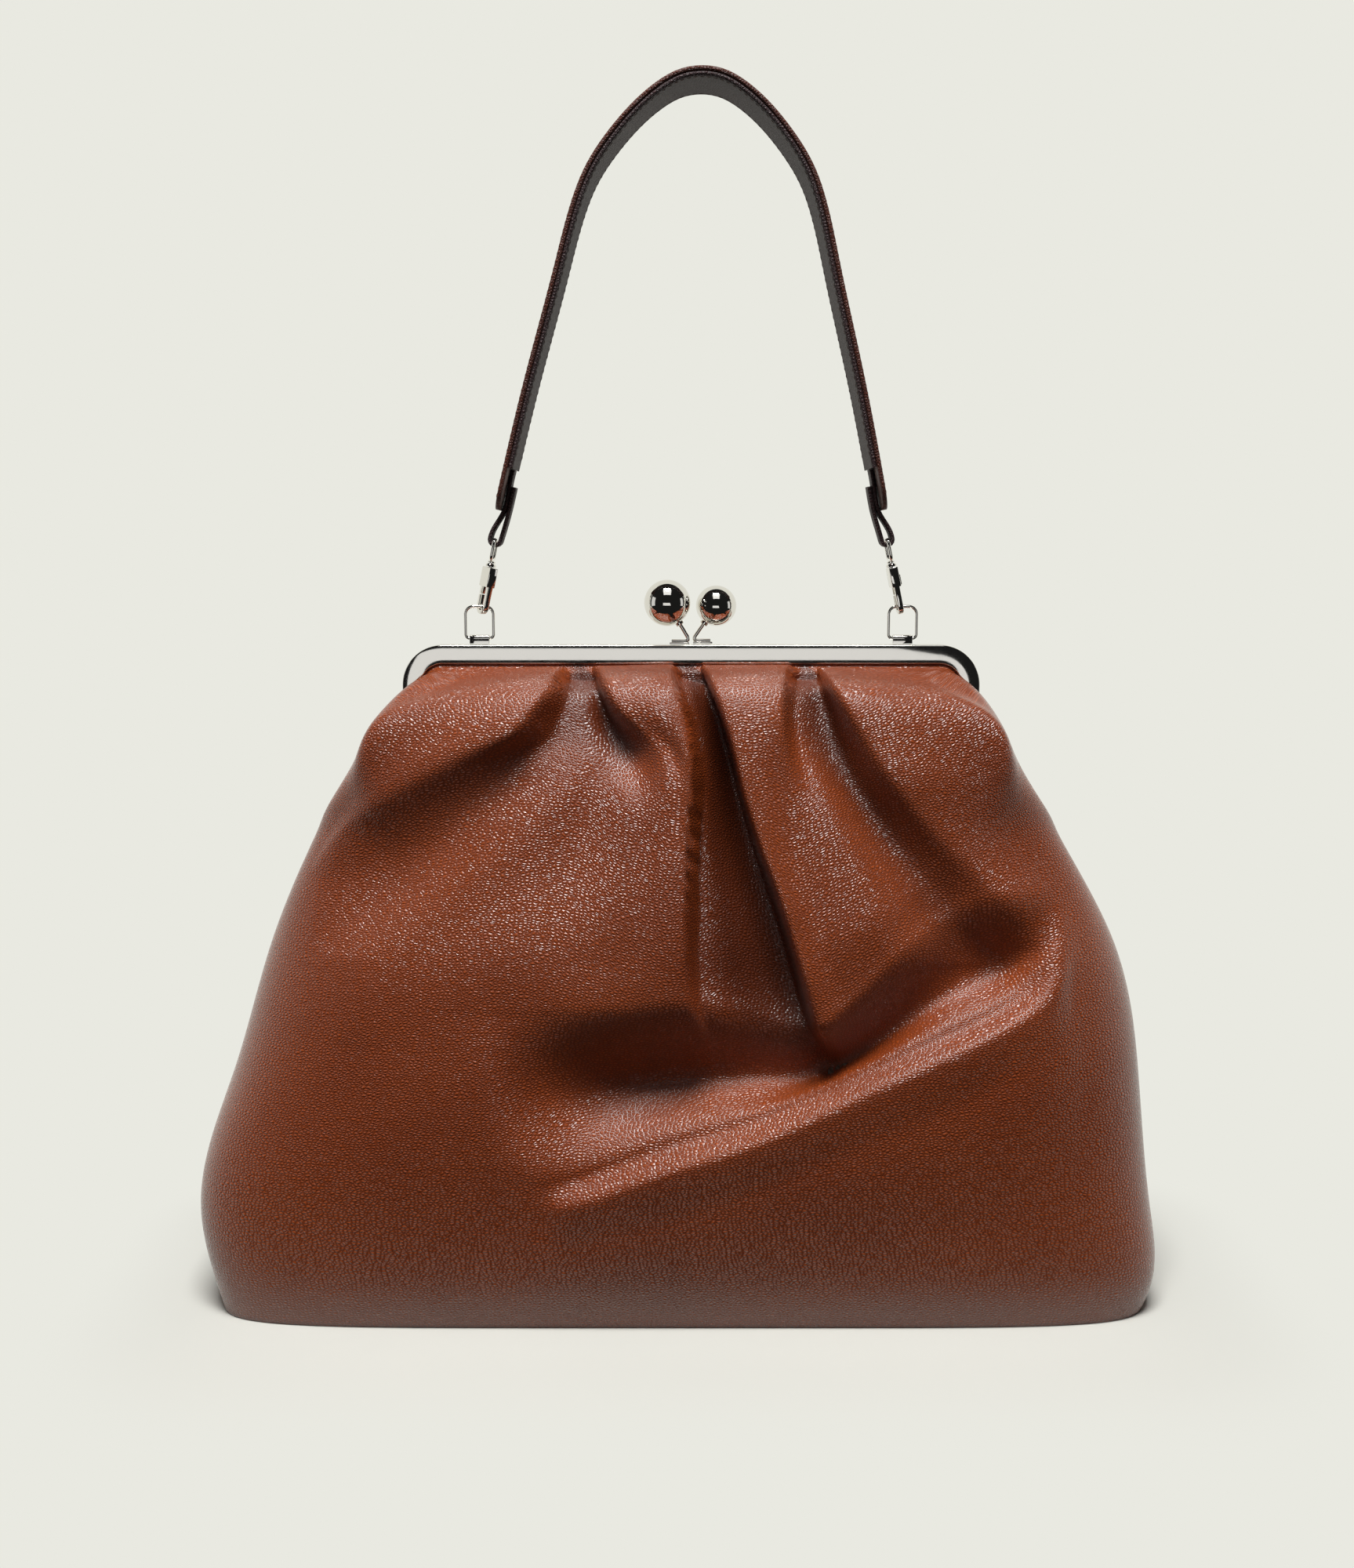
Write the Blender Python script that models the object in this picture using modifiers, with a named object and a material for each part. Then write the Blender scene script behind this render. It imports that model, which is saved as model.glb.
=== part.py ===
"""Gathered leather frame bag with a ball clasp and a clip-on shoulder strap.

Metres, +Z up, the front towards -Y. The origin lies on the floor under the middle of the frame.
Leather panels hang from two hinged channels; rings on the back channel carry the strap's snap hooks.
"""

import math

import bmesh
import bpy
import numpy as np
from mathutils import Matrix, Vector

# Clearances and cuts
GAP = 0.0003  # between pieces that touch on the real bag
OVERRUN = 0.002  # how far a cutter passes the face that it opens
WELD = 0.00001  # joins the points of one mesh that fall together

# Frame: two channels bent to a U, riveted together at their feet
FRAME_WIDTH = 0.250
FRAME_TOP = 0.2908
HINGE_DROP = 0.0608  # from the frame's top to the rivets
CHANNEL_DEPTH = 0.005
CHANNEL_FACE = 0.008
CHANNEL_WALL = 0.0008
CORNER_RADIUS = 0.0175
CORNER_STEPS = 7
EDGE_ROUND = 0.0003
PLATE_RADIUS = 0.004
PLATE_NECK = 0.006
PLATE_SET_BACK = 0.0001
FOOT_RISE = 0.0012
RIVET_RADIUS = 0.0012
RIVET_HEAD_RADIUS = 0.0026
RIVET_HEAD_HEIGHT = 0.0010
RIVET_STEPS = 12
PACKING_RADIUS = 0.00045

# Leather body, as stations from the floor up to the channels
LEATHER = 0.0013
SKIVED_LEATHER = 0.0008
BASE_HALF_WIDTH = 0.210
BASE_HALF_DEPTH = 0.056
SEAM_LIFT = 0.0004
PANEL_COLUMNS = 34
PANEL_ROWS = 15
# Each: rise and rise at the side seam, as shares of the hinges' height, the half widths left and
# right and the side seam's hollow, as shares of the base's half width, the depth's share, squareness
STATION_SHARES = (
    (0.048, 0.048, 1.000, 0.972, 0.000, 0.920, 5.4),
    (0.196, 0.196, 1.034, 0.969, 0.000, 1.000, 4.2),
    (0.457, 0.457, 0.961, 0.942, 0.000, 1.036, 3.2),
    (0.739, 0.722, 0.874, 0.880, 0.006, 0.964, 2.8),
    (0.960, 0.900, 0.803, 0.787, 0.035, 0.821, 2.8),
)
FOOT_SHARES = (0.985, 0.952, 0.860, 6.0)
# The shoulder's curve, from the side seams to the middle: shares of the frame's half width to the
# left and right, of the base's half depth and of the legs' height
SHOULDER_SHARES = (
    (1.179, 1.203, 0.000, -0.220),
    (1.190, 1.166, 0.230, 0.016),
    (1.127, 1.092, 0.420, 0.286),
    (1.067, 1.031, 0.515, 0.502),
    (0.972, 0.972, 0.518, 0.590),
    (0.784, 0.784, 0.500, 0.656),
    (0.480, 0.480, 0.482, 0.674),
    (0.000, 0.000, 0.482, 0.674),
)
ROLL_DROP = 0.0125  # below the frame's top, where the leather first turns down
ROLL_SIDE = 0.0065
ROLL_OUT = 0.0090
ROLL_TAIL = 0.0045
LIP_DROP = 0.0018  # below the channel's own edge
LIP_SIDE = 0.0024
MOUTH_DROP = 0.0006
SEAT_DEPTH = 0.0056  # how far the leather goes into the channel
CORNER_SHARE = 0.72  # where the top ends and the leg starts, along half of the U
CORNER_EASE = 0.08  # over which share of it the one runs into the other
SEAM_CALM_SHARES = (0.70, 0.92)  # where the folds die out towards the side seams
HOLLOW_SHARPNESS = 10  # how close to the side seams a station's hollow keeps
RISE_SHARPNESS = 2.5
TAIL_SHARPNESS = 16

# Folds of the leather, over shares of the frame's half width and top
FOLD_HEIGHT = 0.0100
FOLD_WIDTH = 0.0100
FOLD_FADE = 0.0120
# Down the front: place, height, and width towards -X and +X at each point
CENTRE_RIDGE_SHARES = (
    (0.00, 0.96, 0.2, 0.6, 0.5),
    (0.01, 0.82, 0.9, 1.8, 0.7),
    (-0.01, 0.65, 0.9, 2.6, 0.8),
    (-0.03, 0.48, 0.4, 2.6, 1.0),
)
CENTRE_VALLEY_SHARES = (
    (0.01, 0.96, -0.4, 0.5, 0.5),
    (0.07, 0.84, -1.0, 0.6, 0.7),
    (0.18, 0.66, -1.1, 0.8, 1.0),
    (0.33, 0.45, -0.3, 1.2, 1.2),
)
CENTRE_ROLL_SHARES = (
    (0.08, 0.95, 0.3, 0.6, 0.9),
    (0.16, 0.82, 0.9, 0.7, 1.7),
    (0.27, 0.68, 0.9, 0.9, 2.2),
    (0.36, 0.51, 0.4, 1.2, 2.0),
)
LEFT_PLEAT_SHARES = (
    (-0.40, 0.96, -0.5, 0.5, 0.5),
    (-0.43, 0.88, -1.0, 1.0, 1.0),
    (-0.52, 0.80, -0.7, 2.0, 2.0),
    (-0.60, 0.73, -0.2, 2.4, 2.4),
)
RIGHT_PLEAT_SHARES = (
    (0.40, 0.96, -0.5, 0.5, 0.5),
    (0.42, 0.88, -1.0, 0.9, 0.9),
    (0.53, 0.78, -0.7, 1.2, 1.3),
    (0.82, 0.60, -0.4, 1.6, 1.6),
)
# Across the front: place, height, and width downwards and upwards at each point
SAG_RIDGE_SHARES = (
    (-0.55, 0.20, 0.2, 2.8, 1.1),
    (-0.20, 0.22, 1.0, 3.4, 1.2),
    (0.35, 0.31, 1.2, 4.0, 1.3),
    (0.80, 0.38, 1.0, 4.0, 1.3),
    (1.15, 0.47, 0.3, 3.0, 1.2),
)
SAG_HOLLOW_SHARES = (
    (-0.60, 0.36, -0.3, 2.2, 3.0),
    (-0.05, 0.40, -1.2, 2.4, 4.0),
    (0.40, 0.44, -1.3, 2.4, 4.0),
    (0.85, 0.52, -1.0, 2.2, 3.0),
    (1.15, 0.58, -0.2, 1.6, 2.0),
)
DOWN_FOLDS = (
    CENTRE_RIDGE_SHARES,
    CENTRE_VALLEY_SHARES,
    CENTRE_ROLL_SHARES,
    LEFT_PLEAT_SHARES,
    RIGHT_PLEAT_SHARES,
)
ACROSS_FOLDS = (SAG_RIDGE_SHARES, SAG_HOLLOW_SHARES)
BACK_FOLDS = (CENTRE_VALLEY_SHARES, LEFT_PLEAT_SHARES, RIGHT_PLEAT_SHARES)

# Base
BASE_LEATHER = 0.0013
BOARD = 0.0020
BOARD_INSET = 0.0060
BASE_CLEARANCE = 0.0005

# Lining: two halves that meet at the sides and along the floor, and on each channel a top whose
# lower edge hangs inside their rim
LINING = 0.0008
LINING_EDGE = 0.0005
LINING_SIDE_INSET = 0.0110
LINING_FRONT_INSET = 0.0160
LINING_FLOOR = 0.0050
LINING_HEEL = 0.0120
MIDDLE_SHARE = 0.85  # how far the floor's middle line reaches, as a share of its edge
LINING_REACH = 0.0050
LINING_COLUMNS = 16
TUB_ROWS = 7
CROWN_ROWS = 5
# As the leather's stations, but with the frame's half width in place of the base's
TUB_RIM_SHARES = (0.935, 1.004, 0.90048, 0.90048, 0.000, 0.500, 4.0)
CROWN_FOOT_SHARES = (0.924, 1.001, 0.89208, 0.89208, 0.000, 0.460, 3.2)
# As the shoulder's curve
CROWN_SHARES = (
    (0.884, 0.884, 0.020, 0.050),
    (0.868, 0.868, 0.160, 0.160),
    (0.838, 0.838, 0.250, 0.330),
    (0.760, 0.760, 0.310, 0.480),
    (0.640, 0.640, 0.335, 0.560),
    (0.360, 0.360, 0.345, 0.575),
    (0.000, 0.000, 0.345, 0.575),
)

# Strap rings on the back channel
RING_INSET = 0.033  # from the frame's end
RING_WIRE = 0.0007
RING_WIDTH = 0.0135
RING_HEIGHT = 0.0138  # from the bar's centre to the top wire's centre
RING_TOP_CORNER = 0.0034
RING_BAR_CORNER = 0.0018
LUG_WALL = 0.0006
LUG_LENGTH = 0.0085
LUG_STEPS = 16

# Ball clasp
ARM_RADIUS = 0.00085
ARM_BEND = 0.0028
ARM_FOOT = 0.0080
FOOT_WIDTH = 0.0026
FOOT_THICK = 0.0008
LEFT_BALL_RADIUS = 0.0100
LEFT_BALL_PLACE = -0.0103
LEFT_BALL_RISE = 0.0180
RIGHT_BALL_RADIUS = 0.0088
RIGHT_BALL_PLACE = 0.0109
RIGHT_BALL_RISE = 0.0166
BALL_NECK_RADIUS = 0.0018
BALL_NECK = 0.0010
BALL_SOCKET = 0.0030
BALL_STEPS = 22
BALL_RINGS = 11

# Snap hooks, along their own axis from the ring's wire up
HOOK_SHIFT = 0.0016  # from the ring's middle, towards the bag's middle
HOOK_LEAN = math.radians(12)
LEFT_TURN = math.radians(35)
RIGHT_TURN = math.radians(5)
HOOK_BAR = 0.0018
HOOK_MOUTH = 0.0038
HOOK_THICK = 0.0024
HOOK_SLACK = 0.0009
HOOK_TIP = 0.0050
HOUSING_FOOT = 0.0086
HOUSING_TOP = 0.0172
HOUSING_THICK = 0.0040
HOUSING_ROUND = 0.0004
POCKET_ROOF = 0.0008
BOLT_THICK = 0.0020
BOLT_LENGTH = 0.0067
PAD_WIDTH = 0.0034
PAD_THICK = 0.0010
PAD_HEIGHT = 0.0046
PAD_FOOT = 0.0090
GATE_TRAVEL = 0.0030
SPRING_WIRE = 0.00015
SPRING_RADIUS = 0.00080
SPRING_TURNS = 3.5
SPRING_POINTS = 8
SHANK_RADIUS = 0.0007
SHANK_HEAD_RADIUS = 0.0012
SHANK_HEAD = 0.0010
CHAMBER_HEIGHT = 0.0020
CHAMBER_HALF = 0.0015
CHAMBER_ROOF = 0.0013
WASHER_RADIUS = 0.0023
WASHER = 0.0014
FLANGE_RADIUS = 0.0017
FLANGE = 0.0008
EYE_WIRE = 0.0008
EYE_WIDTH = 0.0116
EYE_TOP = 0.0293
EYE_CORNER = 0.0022
SMALL_STEPS = 12

# Shoulder strap
STRAP_APEX = 0.5275
STRAP_SHIFT = 0.0068  # from a hook's foot to the strap's outer face at its end, inwards
STRAP_END = 0.3486
STRAP_LEAN = 0.0042  # how far the arch's top stands to the right
STRAP_WIDTH = 0.032
STRAP_LEATHER = 0.0021
STRAP_LINING = 0.0020
STRAP_END_ROUND = 0.010
STRAP_EDGE = 0.0004
STRAP_STATIONS = 34
# Half the arch's outer face, from its end up: shares of the half span and of the rise
ARCH_SHARES = (
    (1.000, 0.000),
    (0.850, 0.305),
    (0.708, 0.562),
    (0.632, 0.698),
    (0.562, 0.781),
    (0.455, 0.857),
    (0.340, 0.918),
    (0.223, 0.964),
    (0.110, 0.992),
    (0.000, 1.000),
)
TAB = 0.0018
TAB_WIDTH = 0.0090
TAB_LOOP_RADIUS = 0.0023
TAB_HIDDEN = 0.0180
TAB_FREE = 0.0110
TAB_STATIONS = 24

# Colours, roughness and metallic of each finish
FINISHES = {
    "grained_leather": ((0.240, 0.062, 0.027, 1.0), 0.50, 0.0),
    "strap_leather": ((0.085, 0.026, 0.014, 1.0), 0.55, 0.0),
    "dark_leather": ((0.050, 0.030, 0.032, 1.0), 0.60, 0.0),
    "lining_cloth": ((0.120, 0.080, 0.060, 1.0), 0.85, 0.0),
    "board": ((0.300, 0.240, 0.180, 1.0), 0.90, 0.0),
    "nickel": ((0.780, 0.770, 0.740, 1.0), 0.12, 1.0),
    "spring_steel": ((0.550, 0.550, 0.560, 1.0), 0.30, 1.0),
}

FRONT, BACK = -1, 1
LEFT, RIGHT = -1, 1
SIDE_NAMES = {LEFT: "left", RIGHT: "right"}
HALF_NAMES = {FRONT: "front", BACK: "back"}


def clear_scene():
    for obj in list(bpy.data.objects):
        bpy.data.objects.remove(obj, do_unlink=True)


def collection(name):
    made = bpy.data.collections.new(name)
    bpy.context.scene.collection.children.link(made)
    return made


def finish(name):
    """The Principled material of a finish, made once."""
    if name in bpy.data.materials:
        return bpy.data.materials[name]
    colour, roughness, metallic = FINISHES[name]
    made = bpy.data.materials.new(name)
    made.use_nodes = True
    shader = made.node_tree.nodes["Principled BSDF"]
    shader.inputs["Base Color"].default_value = colour
    shader.inputs["Roughness"].default_value = roughness
    shader.inputs["Metallic"].default_value = metallic
    made.diffuse_color = colour
    return made


def add(name, mesh, parts, material=None, parent=None):
    """An object of this mesh: a piece if it has a material, else a cutter."""
    obj = bpy.data.objects.new(name, mesh)
    parts.objects.link(obj)
    if material:
        mesh.materials.append(finish(material))
    else:
        obj.hide_render = True
        obj.display_type = "WIRE"
    if parent:
        obj.parent = parent
    return obj


def smooth(obj):
    obj.data.shade_smooth()
    obj.data.set_sharp_from_angle(angle=math.radians(35))
    return obj


def boolean(obj, tool, operation):
    modifier = obj.modifiers.new(operation.lower() + "_" + tool.name, "BOOLEAN")
    modifier.operation = operation
    modifier.object = tool


def bevel(obj, width, segments=1):
    modifier = obj.modifiers.new("rounded_edges", "BEVEL")
    modifier.width = width
    modifier.segments = segments
    modifier.limit_method = "ANGLE"
    modifier.angle_limit = math.radians(50)


def mesh_of_curve(curve, turn=None):
    """The curve's own mesh with its caps welded on; the curve is removed."""
    holder = bpy.data.objects.new(curve.name, curve)
    bpy.context.scene.collection.objects.link(holder)
    bpy.context.view_layer.update()
    evaluated = holder.evaluated_get(bpy.context.evaluated_depsgraph_get())
    mesh = bpy.data.meshes.new_from_object(evaluated)
    bpy.data.objects.remove(holder, do_unlink=True)
    work = bmesh.new()
    work.from_mesh(mesh)
    bmesh.ops.remove_doubles(work, verts=work.verts, dist=WELD)
    if turn:
        bmesh.ops.transform(work, matrix=turn, verts=work.verts)
    bmesh.ops.recalc_face_normals(work, faces=work.faces)
    work.to_mesh(mesh)
    work.free()
    return mesh


def plate_mesh(name, outlines, depth):
    """Closed outlines in X and Z, later ones holes, made a plate as deep as this about Y = 0."""
    curve = bpy.data.curves.new(name, "CURVE")
    curve.dimensions = "2D"
    curve.fill_mode = "BOTH"
    curve.extrude = depth / 2
    for outline in outlines:
        spline = curve.splines.new("POLY")
        spline.points.add(len(outline) - 1)
        for point, (x, z) in zip(spline.points, outline):
            point.co = (x, z, 0, 1)
        spline.use_cyclic_u = True
    return mesh_of_curve(curve, Matrix.Rotation(math.pi / 2, 4, "X"))


def wire_mesh(name, points, radius, closed=False, resolution=1):
    """A round wire along these points."""
    curve = bpy.data.curves.new(name, "CURVE")
    curve.dimensions = "3D"
    curve.bevel_depth = radius
    curve.bevel_resolution = resolution
    curve.use_fill_caps = True
    spline = curve.splines.new("POLY")
    spline.points.add(len(points) - 1)
    for point, place in zip(spline.points, points):
        point.co = (*place, 1)
    spline.use_cyclic_u = closed
    return mesh_of_curve(curve)


def turned(name, profile, parts, material=None, parent=None, steps=SMALL_STEPS):
    """A profile of (radius, height), run down its outer side, turned about Z."""
    mesh = bpy.data.meshes.new(name)
    edges = [(i, i + 1) for i in range(len(profile) - 1)]
    if profile[0][0] > WELD:
        edges.append((len(profile) - 1, 0))
    mesh.from_pydata([(r, 0, z) for r, z in profile], edges, [])
    obj = add(name, mesh, parts, material, parent)
    screw = obj.modifiers.new("turned", "SCREW")
    screw.steps = screw.render_steps = steps
    screw.use_merge_vertices = True
    screw.merge_threshold = WELD
    screw.use_smooth_shade = True
    return obj


def box(name, low, high, parts, material=None, parent=None):
    mesh = bpy.data.meshes.new(name)
    work = bmesh.new()
    middle = (Vector(low) + Vector(high)) / 2
    size = Vector(high) - Vector(low)
    bmesh.ops.create_cube(work, size=1, matrix=Matrix.Translation(middle) @ Matrix.Diagonal((*size, 1)))
    work.to_mesh(mesh)
    work.free()
    return add(name, mesh, parts, material, parent)


def arc(centre, radius, start, end, steps):
    """Points on an arc, its ends included, angles in degrees."""
    angles = [math.radians(start + (end - start) * i / steps) for i in range(steps + 1)]
    return [(centre[0] + radius * math.cos(a), centre[1] + radius * math.sin(a)) for a in angles]


def u_line(inset, foot):
    """The frame's U in X and Z, this far inside its outer edge, from the left foot to the right."""
    radius = max(CORNER_RADIUS - inset, GAP)
    wide = FRAME_WIDTH / 2 - inset
    top = FRAME_TOP - inset
    corner = arc((-wide + radius, top - radius), radius, 180, 90, CORNER_STEPS)
    half = [(-wide, foot)] + corner
    return half + [(-x, z) for x, z in reversed(half)]


def hinge_height():
    return FRAME_TOP - HINGE_DROP


def foot_height():
    """Where the channels' legs end, above the hinge plates."""
    return hinge_height() + PLATE_RADIUS + FOOT_RISE


def band(outer, inner, foot):
    """The closed outline between two insets of the U."""
    return u_line(outer, foot) + u_line(inner, foot)[::-1]


def channel_middle(half):
    return half * (GAP + CHANNEL_DEPTH) / 2


def plate_outline(half):
    """A hinge plate in Y and Z: a disc round the rivet and a neck up to the channel."""
    start, end = (90, -180) if half == FRONT else (90, 360)
    disc = arc((0, hinge_height()), PLATE_RADIUS, start, end, LUG_STEPS)
    disc[0] = (half * GAP / 2, hinge_height() + PLATE_RADIUS)
    neck = foot_height() + PLATE_NECK
    return [(half * GAP / 2, neck)] + disc + [(half * PLATE_RADIUS, neck)]


def frame_half(half, parts, cutters):
    """A channel with a hinge plate at each foot: the front's in the outer layer, the back's inside it."""
    name = HALF_NAMES[half] + "_frame"
    foot = foot_height()
    frame = add(name, plate_mesh(name, [band(0, CHANNEL_FACE, foot)], CHANNEL_DEPTH), parts, "nickel")
    frame.location.y = channel_middle(half)
    bevel(frame, EDGE_ROUND)
    slot_outline = band(CHANNEL_WALL, CHANNEL_FACE + OVERRUN, foot - OVERRUN)
    slot = plate_mesh(name + "_slot", [slot_outline], CHANNEL_DEPTH - 2 * CHANNEL_WALL)
    slot = add(name + "_slot", slot, cutters)
    slot.location.y = channel_middle(half)
    boolean(frame, slot, "DIFFERENCE")
    layer = 0 if half == FRONT else CHANNEL_WALL + GAP
    for side in (LEFT, RIGHT):
        label = name + "_plate_" + SIDE_NAMES[side]
        plate = add(label, plate_mesh(label, [plate_outline(half)], CHANNEL_WALL), cutters)
        plate.rotation_euler.z = math.pi / 2
        outer = FRAME_WIDTH / 2 - PLATE_SET_BACK
        plate.location.x = side * (outer - layer - CHANNEL_WALL / 2)
        boolean(frame, plate, "UNION")
        if half == BACK:
            inner = outer - layer - CHANNEL_WALL
            low = (side * inner, GAP / 2 + PLATE_SET_BACK, hinge_height() + PLATE_RADIUS + GAP)
            high = (side * outer, PLATE_RADIUS - PLATE_SET_BACK, foot + PLATE_NECK - PLATE_SET_BACK)
            joggle = box(label + "_joggle", *ordered(low, high), cutters)
            boolean(frame, joggle, "UNION")
        bore = disc_profile(RIVET_RADIUS + GAP, OVERRUN)
        hole = turned(label + "_hole", bore, cutters, steps=RIVET_STEPS)
        hole.rotation_euler.y = math.pi / 2
        hole.location = (plate.location.x, 0, hinge_height())
        boolean(frame, hole, "DIFFERENCE")


def ordered(first, second):
    """The lowest and the highest corner of two."""
    return tuple(map(min, first, second)), tuple(map(max, first, second))


def disc_profile(radius, half_height):
    return [(0, half_height), (radius, half_height), (radius, -half_height), (0, -half_height)]


def hinge_rivet(side, parts):
    """A rivet through both hinge plates, its domed head outside."""
    outer = FRAME_WIDTH / 2 - PLATE_SET_BACK + GAP
    inner = FRAME_WIDTH / 2 - PLATE_SET_BACK - 2 * CHANNEL_WALL - 2 * GAP
    profile = [(0, outer + RIVET_HEAD_HEIGHT)]
    profile += [
        (RIVET_HEAD_RADIUS * math.sin(a), outer + RIVET_HEAD_HEIGHT * math.cos(a))
        for a in (math.pi * i / (2 * CORNER_STEPS) for i in range(1, CORNER_STEPS + 1))
    ]
    profile += [
        (RIVET_RADIUS, outer),
        (RIVET_RADIUS, inner),
        (RIVET_HEAD_RADIUS, inner),
        (RIVET_HEAD_RADIUS, inner - RIVET_HEAD_HEIGHT),
        (0, inner - RIVET_HEAD_HEIGHT),
    ]
    rivet = turned("hinge_rivet_" + SIDE_NAMES[side], profile, parts, "nickel", steps=RIVET_STEPS)
    rivet.rotation_euler.y = side * math.pi / 2
    rivet.location.z = hinge_height()


def packing(half, parts):
    """The paper cord that wedges lining and leather into a channel."""
    name = HALF_NAMES[half] + "_packing"
    inner_wall = GAP / 2 + CHANNEL_WALL
    y = half * (inner_wall + GAP + PACKING_RADIUS)
    line = u_line(CHANNEL_WALL + GAP + PACKING_RADIUS, foot_height() + PLATE_NECK + GAP)
    add(name, wire_mesh(name, [(x, y, z) for x, z in line], PACKING_RADIUS), parts, "board")


def ease(low, high, value):
    """0 below low, 1 above high, smooth between."""
    share = np.clip((value - low) / (high - low), 0, 1)
    return share * share * (3 - 2 * share)


def spread(points, count):
    """Points at even distances along a line of points."""
    steps = np.linalg.norm(np.diff(points, axis=0), axis=1)
    along = np.concatenate(([0], np.cumsum(steps)))
    wanted = np.linspace(0, along[-1], count)
    return np.stack([np.interp(wanted, along, points[:, k]) for k in range(points.shape[1])], 1)


def natural_spline(rows, knots, wanted):
    """A natural cubic spline through rows of points, read at the wanted values."""
    count = len(knots)
    steps = np.diff(knots)
    system = np.eye(count)
    right = np.zeros(rows.shape)
    for i in range(1, count - 1):
        system[i, i - 1 : i + 2] = steps[i - 1], 2 * (steps[i - 1] + steps[i]), steps[i]
        right[i] = 6 * ((rows[i + 1] - rows[i]) / steps[i] - (rows[i] - rows[i - 1]) / steps[i - 1])
    bend = np.linalg.solve(system, right.reshape(count, -1)).reshape(rows.shape)
    read = []
    for value in wanted:
        i = int(np.clip(np.searchsorted(knots, value) - 1, 0, count - 2))
        a = (knots[i + 1] - value) / steps[i]
        b = 1 - a
        curl = ((a**3 - a) * bend[i] + (b**3 - b) * bend[i + 1]) * steps[i] ** 2 / 6
        read.append(a * rows[i] + b * rows[i + 1] + curl)
    return np.array(read)


def smooth_line(points, count):
    """A smooth curve through a few points, spread evenly."""
    steps = np.linalg.norm(np.diff(points, axis=0), axis=1)
    along = np.concatenate(([0], np.cumsum(steps)))
    fine = natural_spline(points, along, np.linspace(0, along[-1], 8 * count))
    return spread(fine, count)


def skin(lines, rows):
    """Rows of points on a smooth surface through a few lines."""
    lines = np.array(lines)
    knots = np.linalg.norm(np.diff(lines, axis=0), axis=2).mean(axis=1)
    knots = np.concatenate(([0], np.cumsum(knots)))
    return natural_spline(lines, knots, np.linspace(0, knots[-1], rows))


def section(left, right, depth, squareness, count):
    """The front half of a rounded section, from the left seam round to the right."""
    angles = np.linspace(-math.pi / 2, math.pi / 2, 16 * count)
    across = np.sign(np.sin(angles)) * np.abs(np.sin(angles)) ** (2 / squareness)
    forward = np.abs(np.cos(angles)) ** (2 / squareness)
    wide = np.where(across < 0, left, right) * across
    return spread(np.stack([wide, -depth * forward - GAP / 2, np.zeros_like(wide)], 1), count)


def station(shares, count, side_inset=0.0, front_inset=0.0, half=BASE_HALF_WIDTH):
    """One station of the body, drawn in at its sides and at its front."""
    rise, side_rise, left, right, hollow, depth, squareness = shares
    depth = BASE_HALF_DEPTH * depth - front_inset
    line = section(half * left - side_inset, half * right - side_inset, depth, squareness, count)
    along = np.linspace(-1, 1, count)
    line[:, 0] -= np.sign(along) * half * hollow * np.abs(along) ** HOLLOW_SHARPNESS
    line[:, 2] = hinge_height() * (rise + (side_rise - rise) * np.abs(along) ** RISE_SHARPNESS)
    return line


def channel_line(top_inset, leg_inset, y_top, y_leg, count):
    """A line along the frame's U whose inset and depth differ between its top and its legs."""
    along = np.abs(np.linspace(-1, 1, count))
    leg = ease(CORNER_SHARE - CORNER_EASE, CORNER_SHARE + CORNER_EASE, along)[:, None]
    lines = []
    for inset, y in ((top_inset, y_top), (leg_inset, y_leg)):
        line = np.array([(x, y, z) for x, z in u_line(inset, foot_height() + GAP)])
        lines.append(spread(line, count))
    return lines[0] * (1 - leg) + lines[1] * leg


def bulge_line(shares, count):
    """A smooth line from seam to seam round the legs, through a table of its points."""
    left, right, depth, rise = np.array(shares).T
    y = -depth * BASE_HALF_DEPTH - GAP / 2
    z = rise * HINGE_DROP + hinge_height()
    half_width = FRAME_WIDTH / 2
    towards = np.stack([-left * half_width, y, z], 1)
    onwards = np.stack([right * half_width, y, z], 1)[-2::-1]
    return smooth_line(np.concatenate([towards, onwards]), count)


def slot_face():
    """The front channel's inner front face, in Y."""
    return -(GAP / 2 + CHANNEL_DEPTH - CHANNEL_WALL)


def leather_rows(columns, rows):
    """The front panel's outer face without folds, as rows of points from the floor to the channel."""
    count = columns + 1
    left, right, depth, squareness = FOOT_SHARES
    half = BASE_HALF_WIDTH
    foot = section(half * left, half * right, BASE_HALF_DEPTH * depth, squareness, count)
    foot[:, 2] = SEAM_LIFT
    face = slot_face() + GAP
    roll = channel_line(ROLL_DROP, ROLL_SIDE, -ROLL_OUT, -ROLL_OUT, count)
    tail = np.linspace(-1, 1, count)
    roll[:, 0] += np.sign(tail) * ROLL_TAIL * np.abs(tail) ** TAIL_SHARPNESS
    roll[:, 2] -= ROLL_TAIL * np.abs(tail) ** TAIL_SHARPNESS
    lip_y = face - SKIVED_LEATHER
    edge = CHANNEL_FACE
    lip = channel_line(edge + LIP_DROP, edge + LIP_SIDE, lip_y, lip_y - LEATHER, count)
    lines = [foot] + [station(shares, count) for shares in STATION_SHARES]
    lines += [bulge_line(SHOULDER_SHARES, count), roll, lip]
    body = skin(lines, rows - 1)
    mouth = channel_line(edge + MOUTH_DROP, edge + MOUTH_DROP, face, face, count)
    seat = channel_line(edge - SEAT_DEPTH, edge - SEAT_DEPTH, face, face, count)
    return np.concatenate([body, [mouth, seat]])


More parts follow.
